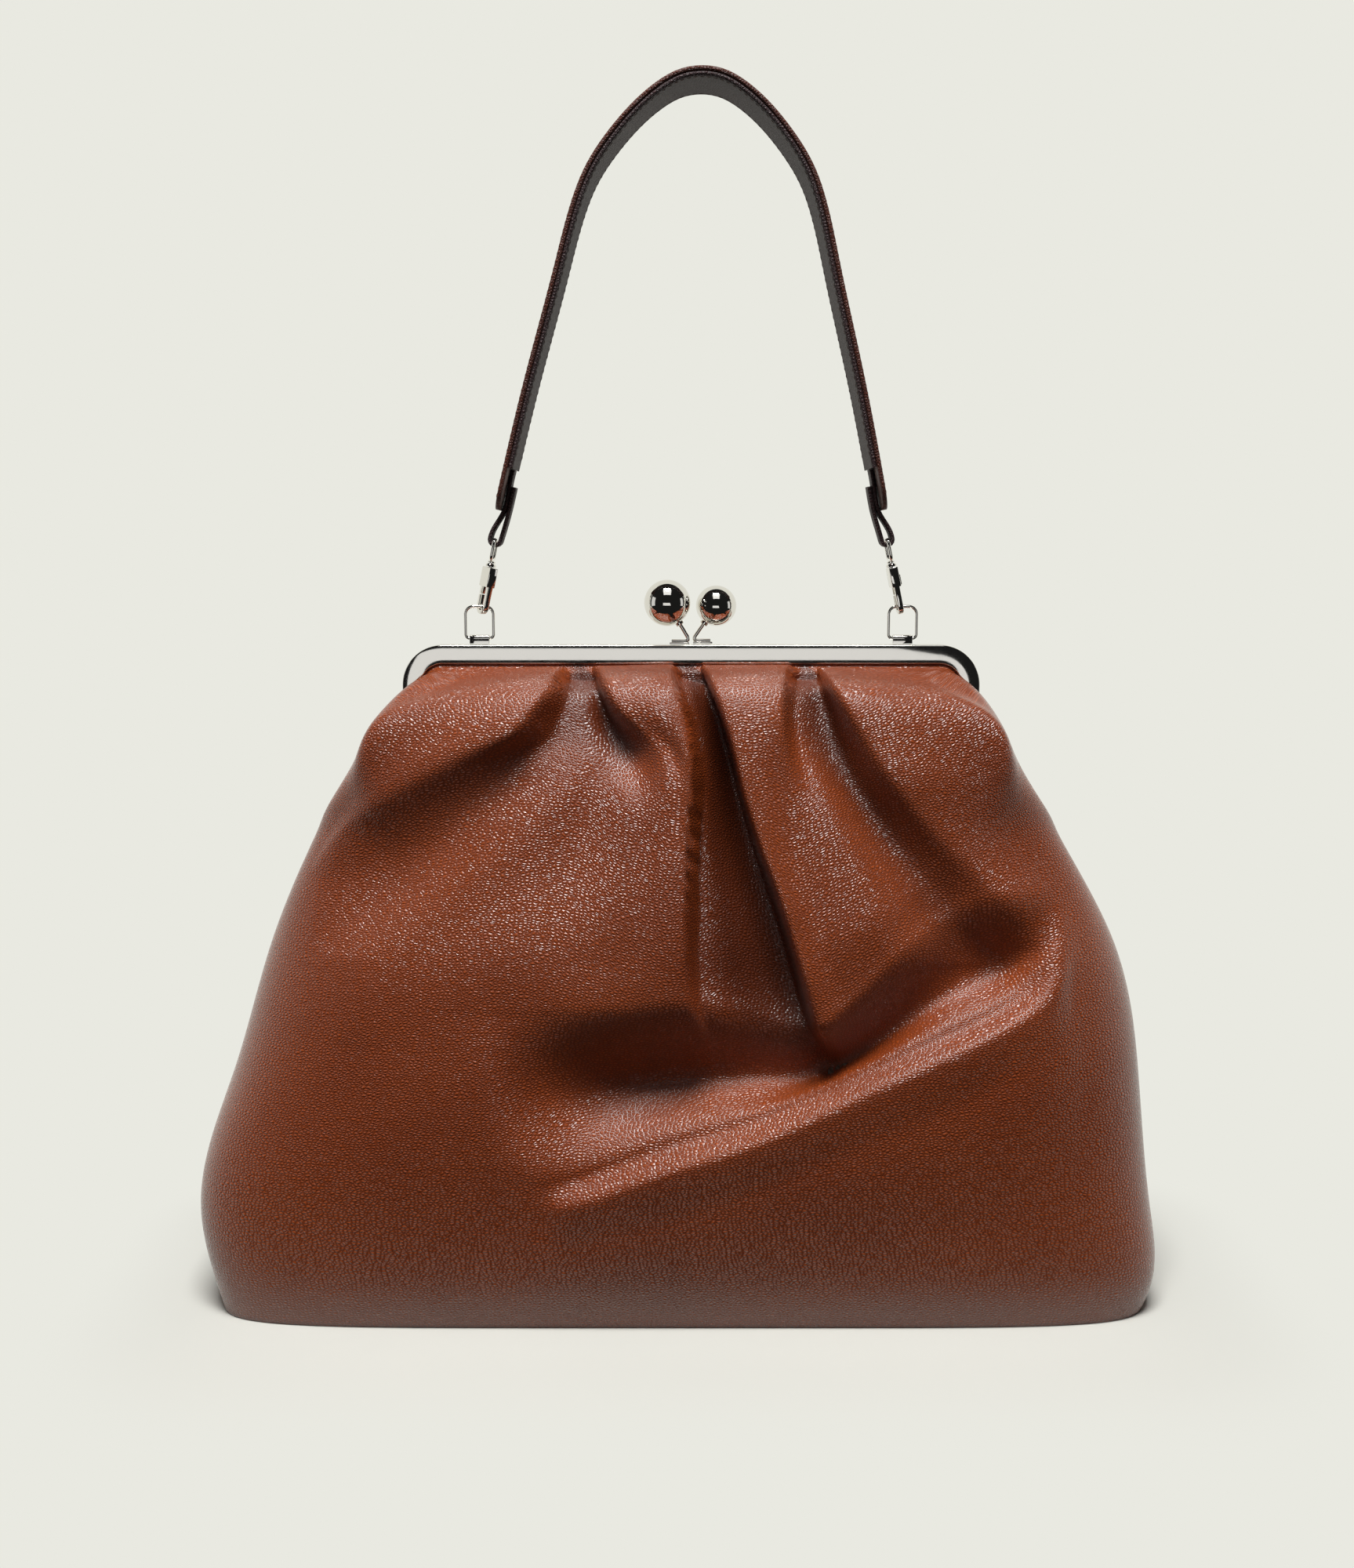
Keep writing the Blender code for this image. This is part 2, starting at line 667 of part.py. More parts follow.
def fold_height(across, up, fold, down):
    """The height of one fold over points of the front view; down is True where it runs down the front."""
    table = np.array(sorted(fold, key=lambda point: point[1] if down else point[0]))
    knots = table[:, 1] * FRAME_TOP if down else table[:, 0] * FRAME_WIDTH / 2
    line = table[:, 0] * FRAME_WIDTH / 2 if down else table[:, 1] * FRAME_TOP
    run, side = (up, across) if down else (across, up)
    fine = np.linspace(knots[0], knots[-1], 8 * PANEL_ROWS)
    smooth_places = natural_spline(line[:, None], knots, fine)[:, 0]
    place = np.interp(run, fine, smooth_places)
    height = np.interp(run, knots, table[:, 2]) * FOLD_HEIGHT
    past = np.maximum(knots[0] - run, 0) + np.maximum(run - knots[-1], 0)
    height = height * np.exp(-((past / FOLD_FADE) ** 2))
    away = side - place
    wide = np.where(away < 0, np.interp(run, knots, table[:, 3]), np.interp(run, knots, table[:, 4]))
    return height * np.exp(-(np.abs(away) / (wide * FOLD_WIDTH)) ** 1.6)


def normals_of(rows):
    """The outward normal at each point of a front panel's rows."""
    normals = np.cross(np.gradient(rows, axis=1), np.gradient(rows, axis=0))
    return normals / np.linalg.norm(normals, axis=2, keepdims=True)


def folded(rows, down_folds, across_folds):
    """The rows with folds raised along their normals, none in the channel, at the floor or at the seams."""
    up = rows[:, :, 2]
    across = rows[:, :, 0]
    height = sum(fold_height(across, up, fold, True) for fold in down_folds)
    height = height + sum(fold_height(across, up, fold, False) for fold in across_folds)
    clear = FRAME_TOP - ROLL_DROP
    height *= 1 - ease(clear - FOLD_FADE / 2, clear, up)
    height *= ease(0, FOLD_FADE, up)
    along = np.abs(np.linspace(-1, 1, rows.shape[1]))
    height *= 1 - ease(*SEAM_CALM_SHARES, along)[None, :]
    return rows + normals_of(rows) * height[:, :, None]


def grid_faces(high, wide, first=0):
    """Faces over rows of points, pointing out of a front panel."""
    faces = []
    for i in range(high - 1):
        for j in range(wide - 1):
            a = first + i * wide + j
            faces.append((a, a + 1, a + wide + 1, a + wide))
    return faces


def panel_mesh(name, rows, thickness, half):
    """A closed shell inside a front panel's rows, as thick at each row as the list says."""
    high, wide, _ = rows.shape
    inner = rows - normals_of(rows) * np.array(thickness)[:, None, None]
    count = high * wide
    faces = grid_faces(high, wide) + [face[::-1] for face in grid_faces(high, wide, count)]
    rim = [i * wide for i in range(high - 1, 0, -1)] + list(range(wide - 1))
    rim += [i * wide + wide - 1 for i in range(high - 1)] + [count - 1 - j for j in range(wide - 1)]
    faces += [(b, a, a + count, b + count) for a, b in zip(rim, rim[1:] + rim[:1])]
    points = np.concatenate([rows.reshape(-1, 3), inner.reshape(-1, 3)])
    points[:, 1] = np.minimum(points[:, 1], -GAP / 2)
    if half == BACK:
        points = points * (1, -1, 1)
        faces = [face[::-1] for face in faces]
    mesh = bpy.data.meshes.new(name)
    mesh.from_pydata(points.tolist(), [], faces)
    mesh.shade_smooth()
    return mesh


def leather_panel(half, parts):
    """The front or back panel, from the base seam into its channel."""
    name = HALF_NAMES[half] + "_panel"
    rows = leather_rows(PANEL_COLUMNS, PANEL_ROWS)
    rows = folded(rows, DOWN_FOLDS, ACROSS_FOLDS) if half == FRONT else folded(rows, BACK_FOLDS, ())
    thickness = [LEATHER] * (len(rows) - 2) + [SKIVED_LEATHER] * 2
    add(name, panel_mesh(name, rows, thickness, half), parts, "grained_leather")


def base_outline(inset):
    """The base's whole outline in X and Y, inside the panels' lower edge by an inset."""
    left, right, depth, squareness = FOOT_SHARES
    front = section(
        BASE_HALF_WIDTH * left - inset,
        BASE_HALF_WIDTH * right - inset,
        BASE_HALF_DEPTH * depth - inset,
        squareness,
        PANEL_COLUMNS + 1,
    )
    back = front[::-1] * (1, -1, 1)
    return [(x, y) for x, y, _ in np.concatenate([front, back])]


def base_piece(name, inset, low, thickness, parts, material):
    """A flat piece of the base, lying at this height."""
    mesh = plate_mesh(name, [base_outline(inset)], thickness)
    mesh.transform(Matrix.Rotation(-math.pi / 2, 4, "X"))
    piece = add(name, mesh, parts, material)
    piece.location.z = low + thickness / 2


def lining_half(half, parts):
    """The lower part of the front or back lining: its share of the floor, and the wall."""
    name = HALF_NAMES[half] + "_lining"
    count = LINING_COLUMNS + 1
    low = station(STATION_SHARES[0], count, LINING_SIDE_INSET + LINING_HEEL / 2, LINING_FRONT_INSET)
    low[:, 2] = LINING_FLOOR
    heel = station(STATION_SHARES[1], count, LINING_SIDE_INSET, LINING_FRONT_INSET)
    heel[:, 2] = LINING_FLOOR + LINING_HEEL
    insets = (LINING_SIDE_INSET, LINING_FRONT_INSET)
    middles = [station(shares, count, *insets) for shares in STATION_SHARES[2:4]]
    rim = station(TUB_RIM_SHARES, count, half=FRAME_WIDTH / 2)
    wall = skin([low, heel] + middles + [rim], TUB_ROWS)
    middle = low * (MIDDLE_SHARE, 0, 1) - (0, GAP / 2, 0)
    rows = np.concatenate([[middle], wall])
    thickness = [LINING] * len(rows)
    add(name, panel_mesh(name, rows, thickness, half), parts, "lining_cloth")


def lining_crown(half, parts):
    """The lining's upper part on one channel, from the hinges' height into the channel."""
    name = "lining_" + HALF_NAMES[half] + "_top"
    count = LINING_COLUMNS + 1
    edge = CHANNEL_FACE
    face = slot_face() + GAP + SKIVED_LEATHER + GAP
    reach = edge + LINING_REACH
    inner = channel_line(reach, reach, face - LINING, face, count)
    foot = station(CROWN_FOOT_SHARES, count, half=FRAME_WIDTH / 2)
    rows = skin([foot, bulge_line(CROWN_SHARES, count), inner], CROWN_ROWS)
    mouth = channel_line(edge + MOUTH_DROP, edge + MOUTH_DROP, face, face, count)
    seat = channel_line(edge - SEAT_DEPTH, edge - SEAT_DEPTH, face, face, count)
    rows = np.concatenate([rows, [mouth, seat]])
    thickness = [LINING] * CROWN_ROWS + [LINING_EDGE] * 2
    add(name, panel_mesh(name, rows, thickness, half), parts, "lining_cloth")


def ring_place():
    return FRAME_WIDTH / 2 - RING_INSET


def ring_bar_height():
    return FRAME_TOP + GAP + LUG_WALL + lug_radius()


def lug_radius():
    """The lug's outer radius: its bore clears the ring's bar."""
    return RING_WIRE + GAP + LUG_WALL


def ring_lug(side, parts):
    """A bent tube on a foot, standing on the back channel."""
    name = "ring_lug_" + SIDE_NAMES[side]
    rise = LUG_WALL + lug_radius()
    outer = arc((0, rise), lug_radius(), -20, 200, LUG_STEPS)
    outer += [(-lug_radius(), 0), (lug_radius(), 0)]
    bore = arc((0, rise), RING_WIRE + GAP, 0, 360, LUG_STEPS)[:-1]
    lug = add(name, plate_mesh(name, [outer, bore], LUG_LENGTH), parts, "nickel")
    lug.rotation_euler.z = math.pi / 2
    lug.location = (side * ring_place(), channel_middle(BACK), FRAME_TOP + GAP)


def d_ring(side, parts):
    """A ring bent from wire: a straight bar in the lug, two sides and a rounded top."""
    name = "d_ring_" + SIDE_NAMES[side]
    half = RING_WIDTH / 2 - RING_WIRE
    top = (half - RING_TOP_CORNER, RING_HEIGHT - RING_TOP_CORNER)
    foot = (half - RING_BAR_CORNER, RING_BAR_CORNER)
    right = arc(foot, RING_BAR_CORNER, -90, 0, 4) + arc(top, RING_TOP_CORNER, 0, 90, CORNER_STEPS)
    line = right + [(-x, z) for x, z in reversed(right)]
    mesh = wire_mesh(name, [(x, 0, z) for x, z in line], RING_WIRE, closed=True, resolution=2)
    ring = add(name, mesh, parts, "nickel")
    ring.location = (side * ring_place(), channel_middle(BACK), ring_bar_height())
    smooth(ring)


def ball(name, radius, place, rise, half, parts):
    """A clasp ball with a short neck and a socket, its neck turned to the arm."""
    bore = ARM_RADIUS + GAP
    start = math.asin(BALL_NECK_RADIUS / radius)
    profile = [(0, radius)]
    for i in range(1, BALL_RINGS + 1):
        angle = i * (math.pi - start) / BALL_RINGS
        profile.append((radius * math.sin(angle), radius * math.cos(angle)))
    neck = -radius - BALL_NECK
    profile += [(BALL_NECK_RADIUS, neck), (bore, neck), (bore, neck + BALL_SOCKET), (0, neck + BALL_SOCKET)]
    made = turned(name, profile, parts, "nickel", steps=BALL_STEPS)
    made.location = (place, channel_middle(half), FRAME_TOP + rise)
    made.rotation_euler.y = ball_tilt(place, rise)


def arm_knee(place):
    """Where an arm's slope meets its foot's line: past the middle, on its own foot's side."""
    side = math.copysign(1, place)
    return side * ARM_RADIUS / 2, GAP + FOOT_THICK + ARM_RADIUS / 2


def ball_tilt(place, rise):
    """The turn about Y that points a ball's neck down its arm."""
    x, z = arm_knee(place)
    return math.atan2(place - x, rise - z)


def clasp_arm(name, radius, place, rise, half, parts, cutters):
    """A bent wire from a flat foot on the channel up into the ball's socket."""
    side = math.copysign(1, place)
    x, z = arm_knee(place)
    tilt = ball_tilt(place, rise)
    reach = math.hypot(place - x, rise - z) - radius - BALL_NECK + BALL_SOCKET - GAP
    tip = (x + reach * math.sin(tilt), z + reach * math.cos(tilt))
    begin = (x + side * ARM_BEND, z)
    leave = (x + ARM_BEND * math.sin(tilt), z + ARM_BEND * math.cos(tilt))
    bend = []
    for i in range(1, CORNER_STEPS):
        share = i / CORNER_STEPS
        a, b, c = (1 - share) ** 2, 2 * share * (1 - share), share**2
        bend.append((a * begin[0] + b * x + c * leave[0], a * begin[1] + b * z + c * leave[1]))
    line = [(x + side * ARM_FOOT, z), begin] + bend + [leave, tip]
    mesh = wire_mesh(name, [(px, 0, pz) for px, pz in line], ARM_RADIUS, resolution=2)
    arm = add(name, mesh, parts, "nickel")
    arm.location = (0, channel_middle(half), FRAME_TOP)
    low = (side * ARM_RADIUS, -FOOT_WIDTH / 2, GAP)
    high = (x + side * (ARM_FOOT + ARM_RADIUS), FOOT_WIDTH / 2, GAP + FOOT_THICK)
    foot = box(name + "_foot", *ordered(low, high), cutters)
    foot.location = arm.location
    boolean(arm, foot, "UNION")
    under = box(
        name + "_under",
        (-2 * ARM_FOOT, -FOOT_WIDTH, -ARM_FOOT),
        (2 * ARM_FOOT, FOOT_WIDTH, GAP),
        cutters,
    )
    under.location = arm.location
    boolean(arm, under, "DIFFERENCE")


def hook_place():
    return ring_place() - HOOK_SHIFT


def hook_base(side, parts):
    """An empty where a hook holds its ring's wire, turned along the hook's own axis."""
    base = bpy.data.objects.new("hook_axis_" + SIDE_NAMES[side], None)
    parts.objects.link(base)
    base.location = (side * hook_place(), channel_middle(BACK), ring_bar_height() + RING_HEIGHT)
    base.rotation_euler.y = -side * HOOK_LEAN
    return base


def hook_turn(side, base, parts):
    """An empty on the hook's axis that holds its rest turn."""
    turn = bpy.data.objects.new("hook_turn_" + SIDE_NAMES[side], None)
    parts.objects.link(turn)
    turn.parent = base
    turn.rotation_euler.z = LEFT_TURN if side == LEFT else RIGHT_TURN
    return turn


def hook_half_width():
    return HOOK_MOUTH / 2 + HOOK_BAR


def trough_centre():
    """The height of the centre of the hook's round bottom over the ring's wire."""
    return HOOK_MOUTH / 2 - RING_WIRE - HOOK_SLACK


def pocket_start():
    return HOOK_MOUTH / 2 - GAP


def hook_body(side, turn, parts, cutters):
    """Spine, round bottom and tip as one flat plate, with the housing of bolt and swivel on top."""
    name = "hook_body_" + SIDE_NAMES[side]
    outer, inner = hook_half_width(), HOOK_MOUTH / 2
    centre = (0, trough_centre())
    outline = [(-outer, HOUSING_FOOT + OVERRUN)] + arc(centre, outer, 180, 360, 2 * CORNER_STEPS)
    outline += [(outer, HOOK_TIP), (inner, HOOK_TIP)] + arc(centre, inner, 360, 180, 2 * CORNER_STEPS)
    outline += [(-inner, HOUSING_FOOT + OVERRUN)]
    body = add(name, plate_mesh(name, [outline], HOOK_THICK), parts, "nickel", turn)
    body.rotation_euler.z = math.pi / 2
    bevel(body, HOUSING_ROUND)
    half = HOUSING_THICK / 2
    low, high = (-outer, -half, HOUSING_FOOT), (outer, half, HOUSING_TOP)
    housing = box(name + "_housing", low, high, cutters, parent=body)
    bevel(housing, HOUSING_ROUND)
    pocket = box(
        name + "_pocket",
        (pocket_start(), -half - OVERRUN, HOUSING_FOOT - OVERRUN),
        (outer + OVERRUN, BOLT_THICK / 2 + GAP, HOUSING_TOP - POCKET_ROOF),
        cutters,
        parent=body,
    )
    roof = HOUSING_TOP - CHAMBER_ROOF
    chamber = box(
        name + "_chamber",
        (-CHAMBER_HALF, -CHAMBER_HALF, roof - CHAMBER_HEIGHT),
        (pocket_start() + GAP, CHAMBER_HALF, roof),
        cutters,
        parent=body,
    )
    bore = turned(name + "_bore", disc_profile(SHANK_RADIUS + GAP, OVERRUN), cutters, parent=body)
    bore.location.z = HOUSING_TOP
    boolean(body, housing, "UNION")
    for cutter in (pocket, chamber, bore):
        boolean(body, cutter, "DIFFERENCE")


def hook_gate(side, turn, parts, cutters):
    """The sliding bolt that closes the hook's mouth, with its thumb pad outside the housing."""
    name = "hook_gate_" + SIDE_NAMES[side]
    outer = hook_half_width()
    low = HOOK_TIP + GAP
    half = BOLT_THICK / 2
    gate = box(name, (HOOK_MOUTH / 2, -half, low), (outer, half, low + BOLT_LENGTH), parts, "nickel", turn)
    gate.rotation_euler.z = math.pi / 2
    bevel(gate, HOUSING_ROUND / 2)
    face = -HOUSING_THICK / 2 - GAP
    neck = box(
        name + "_neck",
        (HOOK_MOUTH / 2 + PAD_THICK / 2, face - PAD_THICK / 2, PAD_FOOT),
        (outer - HOUSING_ROUND, 0, low + BOLT_LENGTH - HOUSING_ROUND),
        cutters,
        parent=gate,
    )
    pad = box(
        name + "_pad",
        (outer - PAD_WIDTH, face - PAD_THICK, PAD_FOOT),
        (outer, face, PAD_FOOT + PAD_HEIGHT),
        cutters,
        parent=gate,
    )
    bevel(pad, HOUSING_ROUND)
    boolean(gate, neck, "UNION")
    boolean(gate, pad, "UNION")


def gate_spring(side, turn, parts):
    """The coil between the bolt and the housing's roof: one unbroken wire."""
    name = "gate_spring_" + SIDE_NAMES[side]
    low = HOOK_TIP + GAP + BOLT_LENGTH + GAP + SPRING_WIRE
    high = HOUSING_TOP - POCKET_ROOF - GAP - SPRING_WIRE
    centre = HOOK_MOUTH / 2 + HOOK_BAR / 2
    steps = int(SPRING_TURNS * SPRING_POINTS)
    points = []
    for i in range(steps + 1):
        angle = 2 * math.pi * i / SPRING_POINTS
        across = SPRING_RADIUS * math.cos(angle)
        points.append((SPRING_RADIUS * math.sin(angle), centre + across, low + (high - low) * i / steps))
    add(name, wire_mesh(name, points, SPRING_WIRE), parts, "spring_steel", turn)
    pitch = (high - low) * SPRING_POINTS / steps
    print(f"{name}: {steps + 1} points, least gap between turns {(pitch - 2 * SPRING_WIRE) * 1000:.2f} mm")


def swivel_washer(side, turn, parts):
    """The coned washer between housing and eye."""
    low = HOUSING_TOP + GAP
    inner = SHANK_RADIUS + GAP
    profile = [
        (inner, low + WASHER),
        (FLANGE_RADIUS, low + WASHER),
        (WASHER_RADIUS, low + WASHER / 2),
        (WASHER_RADIUS, low),
        (inner, low),
    ]
    turned("swivel_washer_" + SIDE_NAMES[side], profile, parts, "nickel", turn)


def swivel_eye(side, base, parts, cutters):
    """The oval eye with its shank, whose head turns in the housing's chamber."""
    name = "swivel_eye_" + SIDE_NAMES[side]
    head_top = HOUSING_TOP - CHAMBER_ROOF - GAP
    flange_low = HOUSING_TOP + GAP + WASHER + GAP
    profile = [
        (0, flange_low + FLANGE),
        (FLANGE_RADIUS, flange_low + FLANGE),
        (FLANGE_RADIUS, flange_low),
        (SHANK_RADIUS, flange_low),
        (SHANK_RADIUS, head_top),
        (SHANK_HEAD_RADIUS, head_top),
        (SHANK_HEAD_RADIUS, head_top - SHANK_HEAD),
        (0, head_top - SHANK_HEAD),
    ]
    shank = turned(name + "_shank", profile, cutters, parent=base)
    half = EYE_WIDTH / 2
    foot = flange_low + FLANGE + EYE_WIRE / 2
    upper = arc((half - EYE_CORNER, EYE_TOP - EYE_CORNER), EYE_CORNER, 0, 90, 5)
    lower = arc((half - EYE_CORNER, foot + EYE_CORNER), EYE_CORNER, -90, 0, 5)
    right = lower + upper
    line = right + [(-y, z) for y, z in reversed(right)]
    mesh = wire_mesh(name, [(0, y, z) for y, z in line], EYE_WIRE, closed=True)
    eye = add(name, mesh, parts, "nickel", base)
    boolean(eye, shank, "UNION")
    smooth(eye)


def arch_line(count):
    """The strap's outer face in X and Z, from the left end over the top to the right."""
    rise = STRAP_APEX - STRAP_END
    half_span = hook_place() - STRAP_SHIFT
    half = [(-half_span * x, z) for x, z in ARCH_SHARES]
    whole = np.array(half + [(-x, z) for x, z in half[-2::-1]])
    whole[:, 0] += STRAP_LEAN * whole[:, 1]
    whole[:, 1] = STRAP_END + rise * whole[:, 1]
    return smooth_line(whole, count)


def ribbon(name, line, outer, thickness, half_widths, parts, material):
    """A band along a line in X and Z: its outer face set in by outer, its edges chamfered."""
    along = np.gradient(line, axis=0)
    along /= np.linalg.norm(along, axis=1, keepdims=True)
    inwards = np.stack([along[:, 1], -along[:, 0]], 1)
    points = []
    for place, into, half in zip(line, inwards, half_widths):
        edge = min(STRAP_EDGE, half / 2)
        for depth, y in (
            (0, -half + edge),
            (0, half - edge),
            (edge, half),
            (thickness - edge, half),
            (thickness, half - edge),
            (thickness, -half + edge),
            (thickness - edge, -half),
            (edge, -half),
        ):
            x, z = place + into * (outer + depth)
            points.append((x, y, z))
    ring = 8
    faces = []
    for i in range(len(line) - 1):
        for j in range(ring):
            a, b = i * ring + j, i * ring + (j + 1) % ring
            faces.append((a, a + ring, b + ring, b))
    last = (len(line) - 1) * ring
    faces += [tuple(range(ring)), tuple(last + j for j in reversed(range(ring)))]
    mesh = bpy.data.meshes.new(name)
    mesh.from_pydata(points, [], faces)
    work = bmesh.new()
    work.from_mesh(mesh)
    bmesh.ops.recalc_face_normals(work, faces=work.faces)
    work.to_mesh(mesh)
    work.free()
    band_object = add(name, mesh, parts, material)
    band_object.location.y = channel_middle(BACK)
    return smooth(band_object)


def line_length(line):
    return float(np.linalg.norm(np.diff(line, axis=0), axis=1).sum())


def cut_line(line, start, end, count):
    """The stretch of a line between two distances from its start, spread evenly."""
    steps = np.linalg.norm(np.diff(line, axis=0), axis=1)
    along = np.concatenate(([0], np.cumsum(steps)))
    wanted = np.linspace(start, end, count)
    return np.stack([np.interp(wanted, along, line[:, k]) for k in range(2)], 1)


def end_rounding(line):
    """Half the strap's width at each point, rounded towards both ends."""
    steps = np.linalg.norm(np.diff(line, axis=0), axis=1)
    along = np.concatenate(([0], np.cumsum(steps)))
    near = np.minimum(along, along[-1] - along)
    short = np.clip(1 - near / STRAP_END_ROUND, 0, 1)
    return STRAP_WIDTH / 2 - STRAP_END_ROUND * (1 - np.sqrt(1 - short**2))


def strap(parts):
    """Outer leather from end to end and the lining between the two tabs."""
    fine = arch_line(8 * STRAP_STATIONS)
    whole = line_length(fine)
    ends = cut_line(fine, 0, STRAP_END_ROUND, 5)
    middle = cut_line(fine, STRAP_END_ROUND, whole - STRAP_END_ROUND, STRAP_STATIONS)
    others = cut_line(fine, whole - STRAP_END_ROUND, whole, 5)
    line = np.concatenate([ends[:-1], middle, others[1:]])
    ribbon("strap_outer", line, 0, STRAP_LEATHER, end_rounding(line), parts, "strap_leather")
    start = TAB_HIDDEN + GAP
    inner = cut_line(fine, start, whole - start, STRAP_STATIONS)
    widths = np.full(len(inner), STRAP_WIDTH / 2)
    ribbon("strap_lining", inner, STRAP_LEATHER + GAP, STRAP_LINING, widths, parts, "dark_leather")


def tab_line(side):
    """The tab's middle line in X and Z: down inside the strap, round the eye and up again."""
    fine = arch_line(8 * STRAP_STATIONS)
    if side == RIGHT:
        fine = fine[::-1]
    end = fine[0]
    up = fine[8] - fine[0]
    up /= np.linalg.norm(up)
    into = np.array((up[1], -up[0])) * -side
    wire = ring_bar_height() + RING_HEIGHT + EYE_TOP * math.cos(HOOK_LEAN)
    eye = np.array((side * (hook_place() - EYE_TOP * math.sin(HOOK_LEAN)), wire))
    first = STRAP_LEATHER + GAP + TAB / 2
    second = first + TAB + GAP
    middle = float((eye - end) @ into)
    below = float((eye - end) @ up)
    loop = arc((middle, below), TAB_LOOP_RADIUS, 180, 360, 12)
    points = [(first, TAB_HIDDEN), (first, TAB_FREE), (first, GAP)]
    points += loop + [(second, GAP), (second, TAB_FREE)]
    return np.array([end + into * across + up * rise for across, rise in points])


def strap_tab(side, parts):
    """A narrow strip sewn to the strap's inside, looped round the hook's eye."""
    name = "strap_tab_" + SIDE_NAMES[side]
    line = smooth_line(tab_line(side), TAB_STATIONS)
    widths = np.full(len(line), TAB_WIDTH / 2)
    ribbon(name, line, -TAB / 2, TAB, widths, parts, "dark_leather")


def main():
    clear_scene()
    parts = collection("frame_bag")
    cutters = collection("frame_bag_cutters")
    for half in (FRONT, BACK):
        frame_half(half, parts, cutters)
        packing(half, parts)
        leather_panel(half, parts)
        lining_half(half, parts)
        lining_crown(half, parts)
    base_piece("base_panel", LEATHER + BASE_CLEARANCE, 0, BASE_LEATHER, parts, "grained_leather")
    board_inset = LEATHER + BASE_CLEARANCE + BOARD_INSET
    base_piece("base_board", board_inset, BASE_LEATHER + GAP, BOARD, parts, "board")
    clasp_arm(
        "clasp_arm_front", LEFT_BALL_RADIUS, LEFT_BALL_PLACE, LEFT_BALL_RISE, FRONT, parts, cutters
    )
    clasp_arm(
        "clasp_arm_back", RIGHT_BALL_RADIUS, RIGHT_BALL_PLACE, RIGHT_BALL_RISE, BACK, parts, cutters
    )
    ball("clasp_ball_front", LEFT_BALL_RADIUS, LEFT_BALL_PLACE, LEFT_BALL_RISE, FRONT, parts)
    ball("clasp_ball_back", RIGHT_BALL_RADIUS, RIGHT_BALL_PLACE, RIGHT_BALL_RISE, BACK, parts)
    strap(parts)
    for side in (LEFT, RIGHT):
        hinge_rivet(side, parts)
        ring_lug(side, parts)
        d_ring(side, parts)
        base = hook_base(side, parts)
        turn = hook_turn(side, base, parts)
        hook_body(side, turn, parts, cutters)
        hook_gate(side, turn, parts, cutters)
        gate_spring(side, turn, parts)
        swivel_washer(side, turn, parts)
        swivel_eye(side, base, parts, cutters)
        strap_tab(side, parts)


main()
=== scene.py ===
"""Looks of a gathered leather frame bag with a ball clasp and a clip-on shoulder strap.

Metres, +Z up, the front towards -Y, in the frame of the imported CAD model.
"""

import logging
import math
from dataclasses import dataclass
from enum import Enum
from typing import Any, Mapping, Sequence

import bpy
import numpy as np
from bpy.types import Curve, Material, Node, NodeSocket, NodeTree, Object
from mathutils import Matrix, Vector


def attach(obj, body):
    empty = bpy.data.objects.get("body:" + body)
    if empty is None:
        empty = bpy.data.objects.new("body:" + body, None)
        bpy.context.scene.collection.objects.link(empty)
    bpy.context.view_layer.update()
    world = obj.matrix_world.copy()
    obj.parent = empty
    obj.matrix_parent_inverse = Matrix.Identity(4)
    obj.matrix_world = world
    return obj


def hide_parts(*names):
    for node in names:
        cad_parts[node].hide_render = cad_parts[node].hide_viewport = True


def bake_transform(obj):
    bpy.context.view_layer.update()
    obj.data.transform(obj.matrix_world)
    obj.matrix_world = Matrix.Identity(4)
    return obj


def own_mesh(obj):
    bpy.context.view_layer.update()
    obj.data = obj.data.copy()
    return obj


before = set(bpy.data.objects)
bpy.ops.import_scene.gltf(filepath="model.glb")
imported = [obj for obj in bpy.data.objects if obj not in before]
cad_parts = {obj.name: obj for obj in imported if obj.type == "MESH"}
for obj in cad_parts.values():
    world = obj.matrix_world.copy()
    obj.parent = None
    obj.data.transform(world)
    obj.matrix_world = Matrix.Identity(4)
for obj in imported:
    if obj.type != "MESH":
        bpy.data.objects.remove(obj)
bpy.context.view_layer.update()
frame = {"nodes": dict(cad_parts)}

MM = 0.001
GAP = 0.3 * MM
WELD = 0.01 * MM
GRAIN_MAP = "grain"
PLEAT_SHADE_DEPTH = "pleat_shade_depth"
SMOOTH_ANGLE = math.radians(35)

Points = np.ndarray
Pairs = Sequence[tuple[float, float]]
log = logging.getLogger("frame_bag")


class Labelled(Enum):
    """Options whose labels go into the names of nodes and bodies."""

    @property
    def label(self) -> str:
        """The option's name in small letters."""
        return self.name.lower()


class Half(Labelled):
    """The two halves of the bag that the frame's hinges join."""

    FRONT = -1
    BACK = 1

    @property
    def body(self) -> str:
        """The CAD body that moves with this half's channel."""
        return self.label + "_half"


class Side(Labelled):
    """Left and right along X, as the front view shows them."""

    LEFT = -1
    RIGHT = 1


# Selecting, shaping and finishing with Blender's own operators


def alone(piece: Object) -> None:
    """Selects this piece and nothing else, and makes it active."""
    bpy.ops.object.select_all(action="DESELECT")
    piece.select_set(True)
    bpy.context.view_layer.objects.active = piece


def placed(name: str, data: Any) -> Object:
    """A new object of this mesh or curve, alone selected."""
    made = bpy.data.objects.new(name, data)
    bpy.context.scene.collection.objects.link(made)
    alone(made)
    return made


def meshed(name: str, points: Points, faces: Sequence[Sequence[int]]) -> Object:
    """An object of these points and faces."""
    mesh = bpy.data.meshes.new(name)
    mesh.from_pydata(np.asarray(points).tolist(), [], [tuple(face) for face in faces])
    return placed(name, mesh)


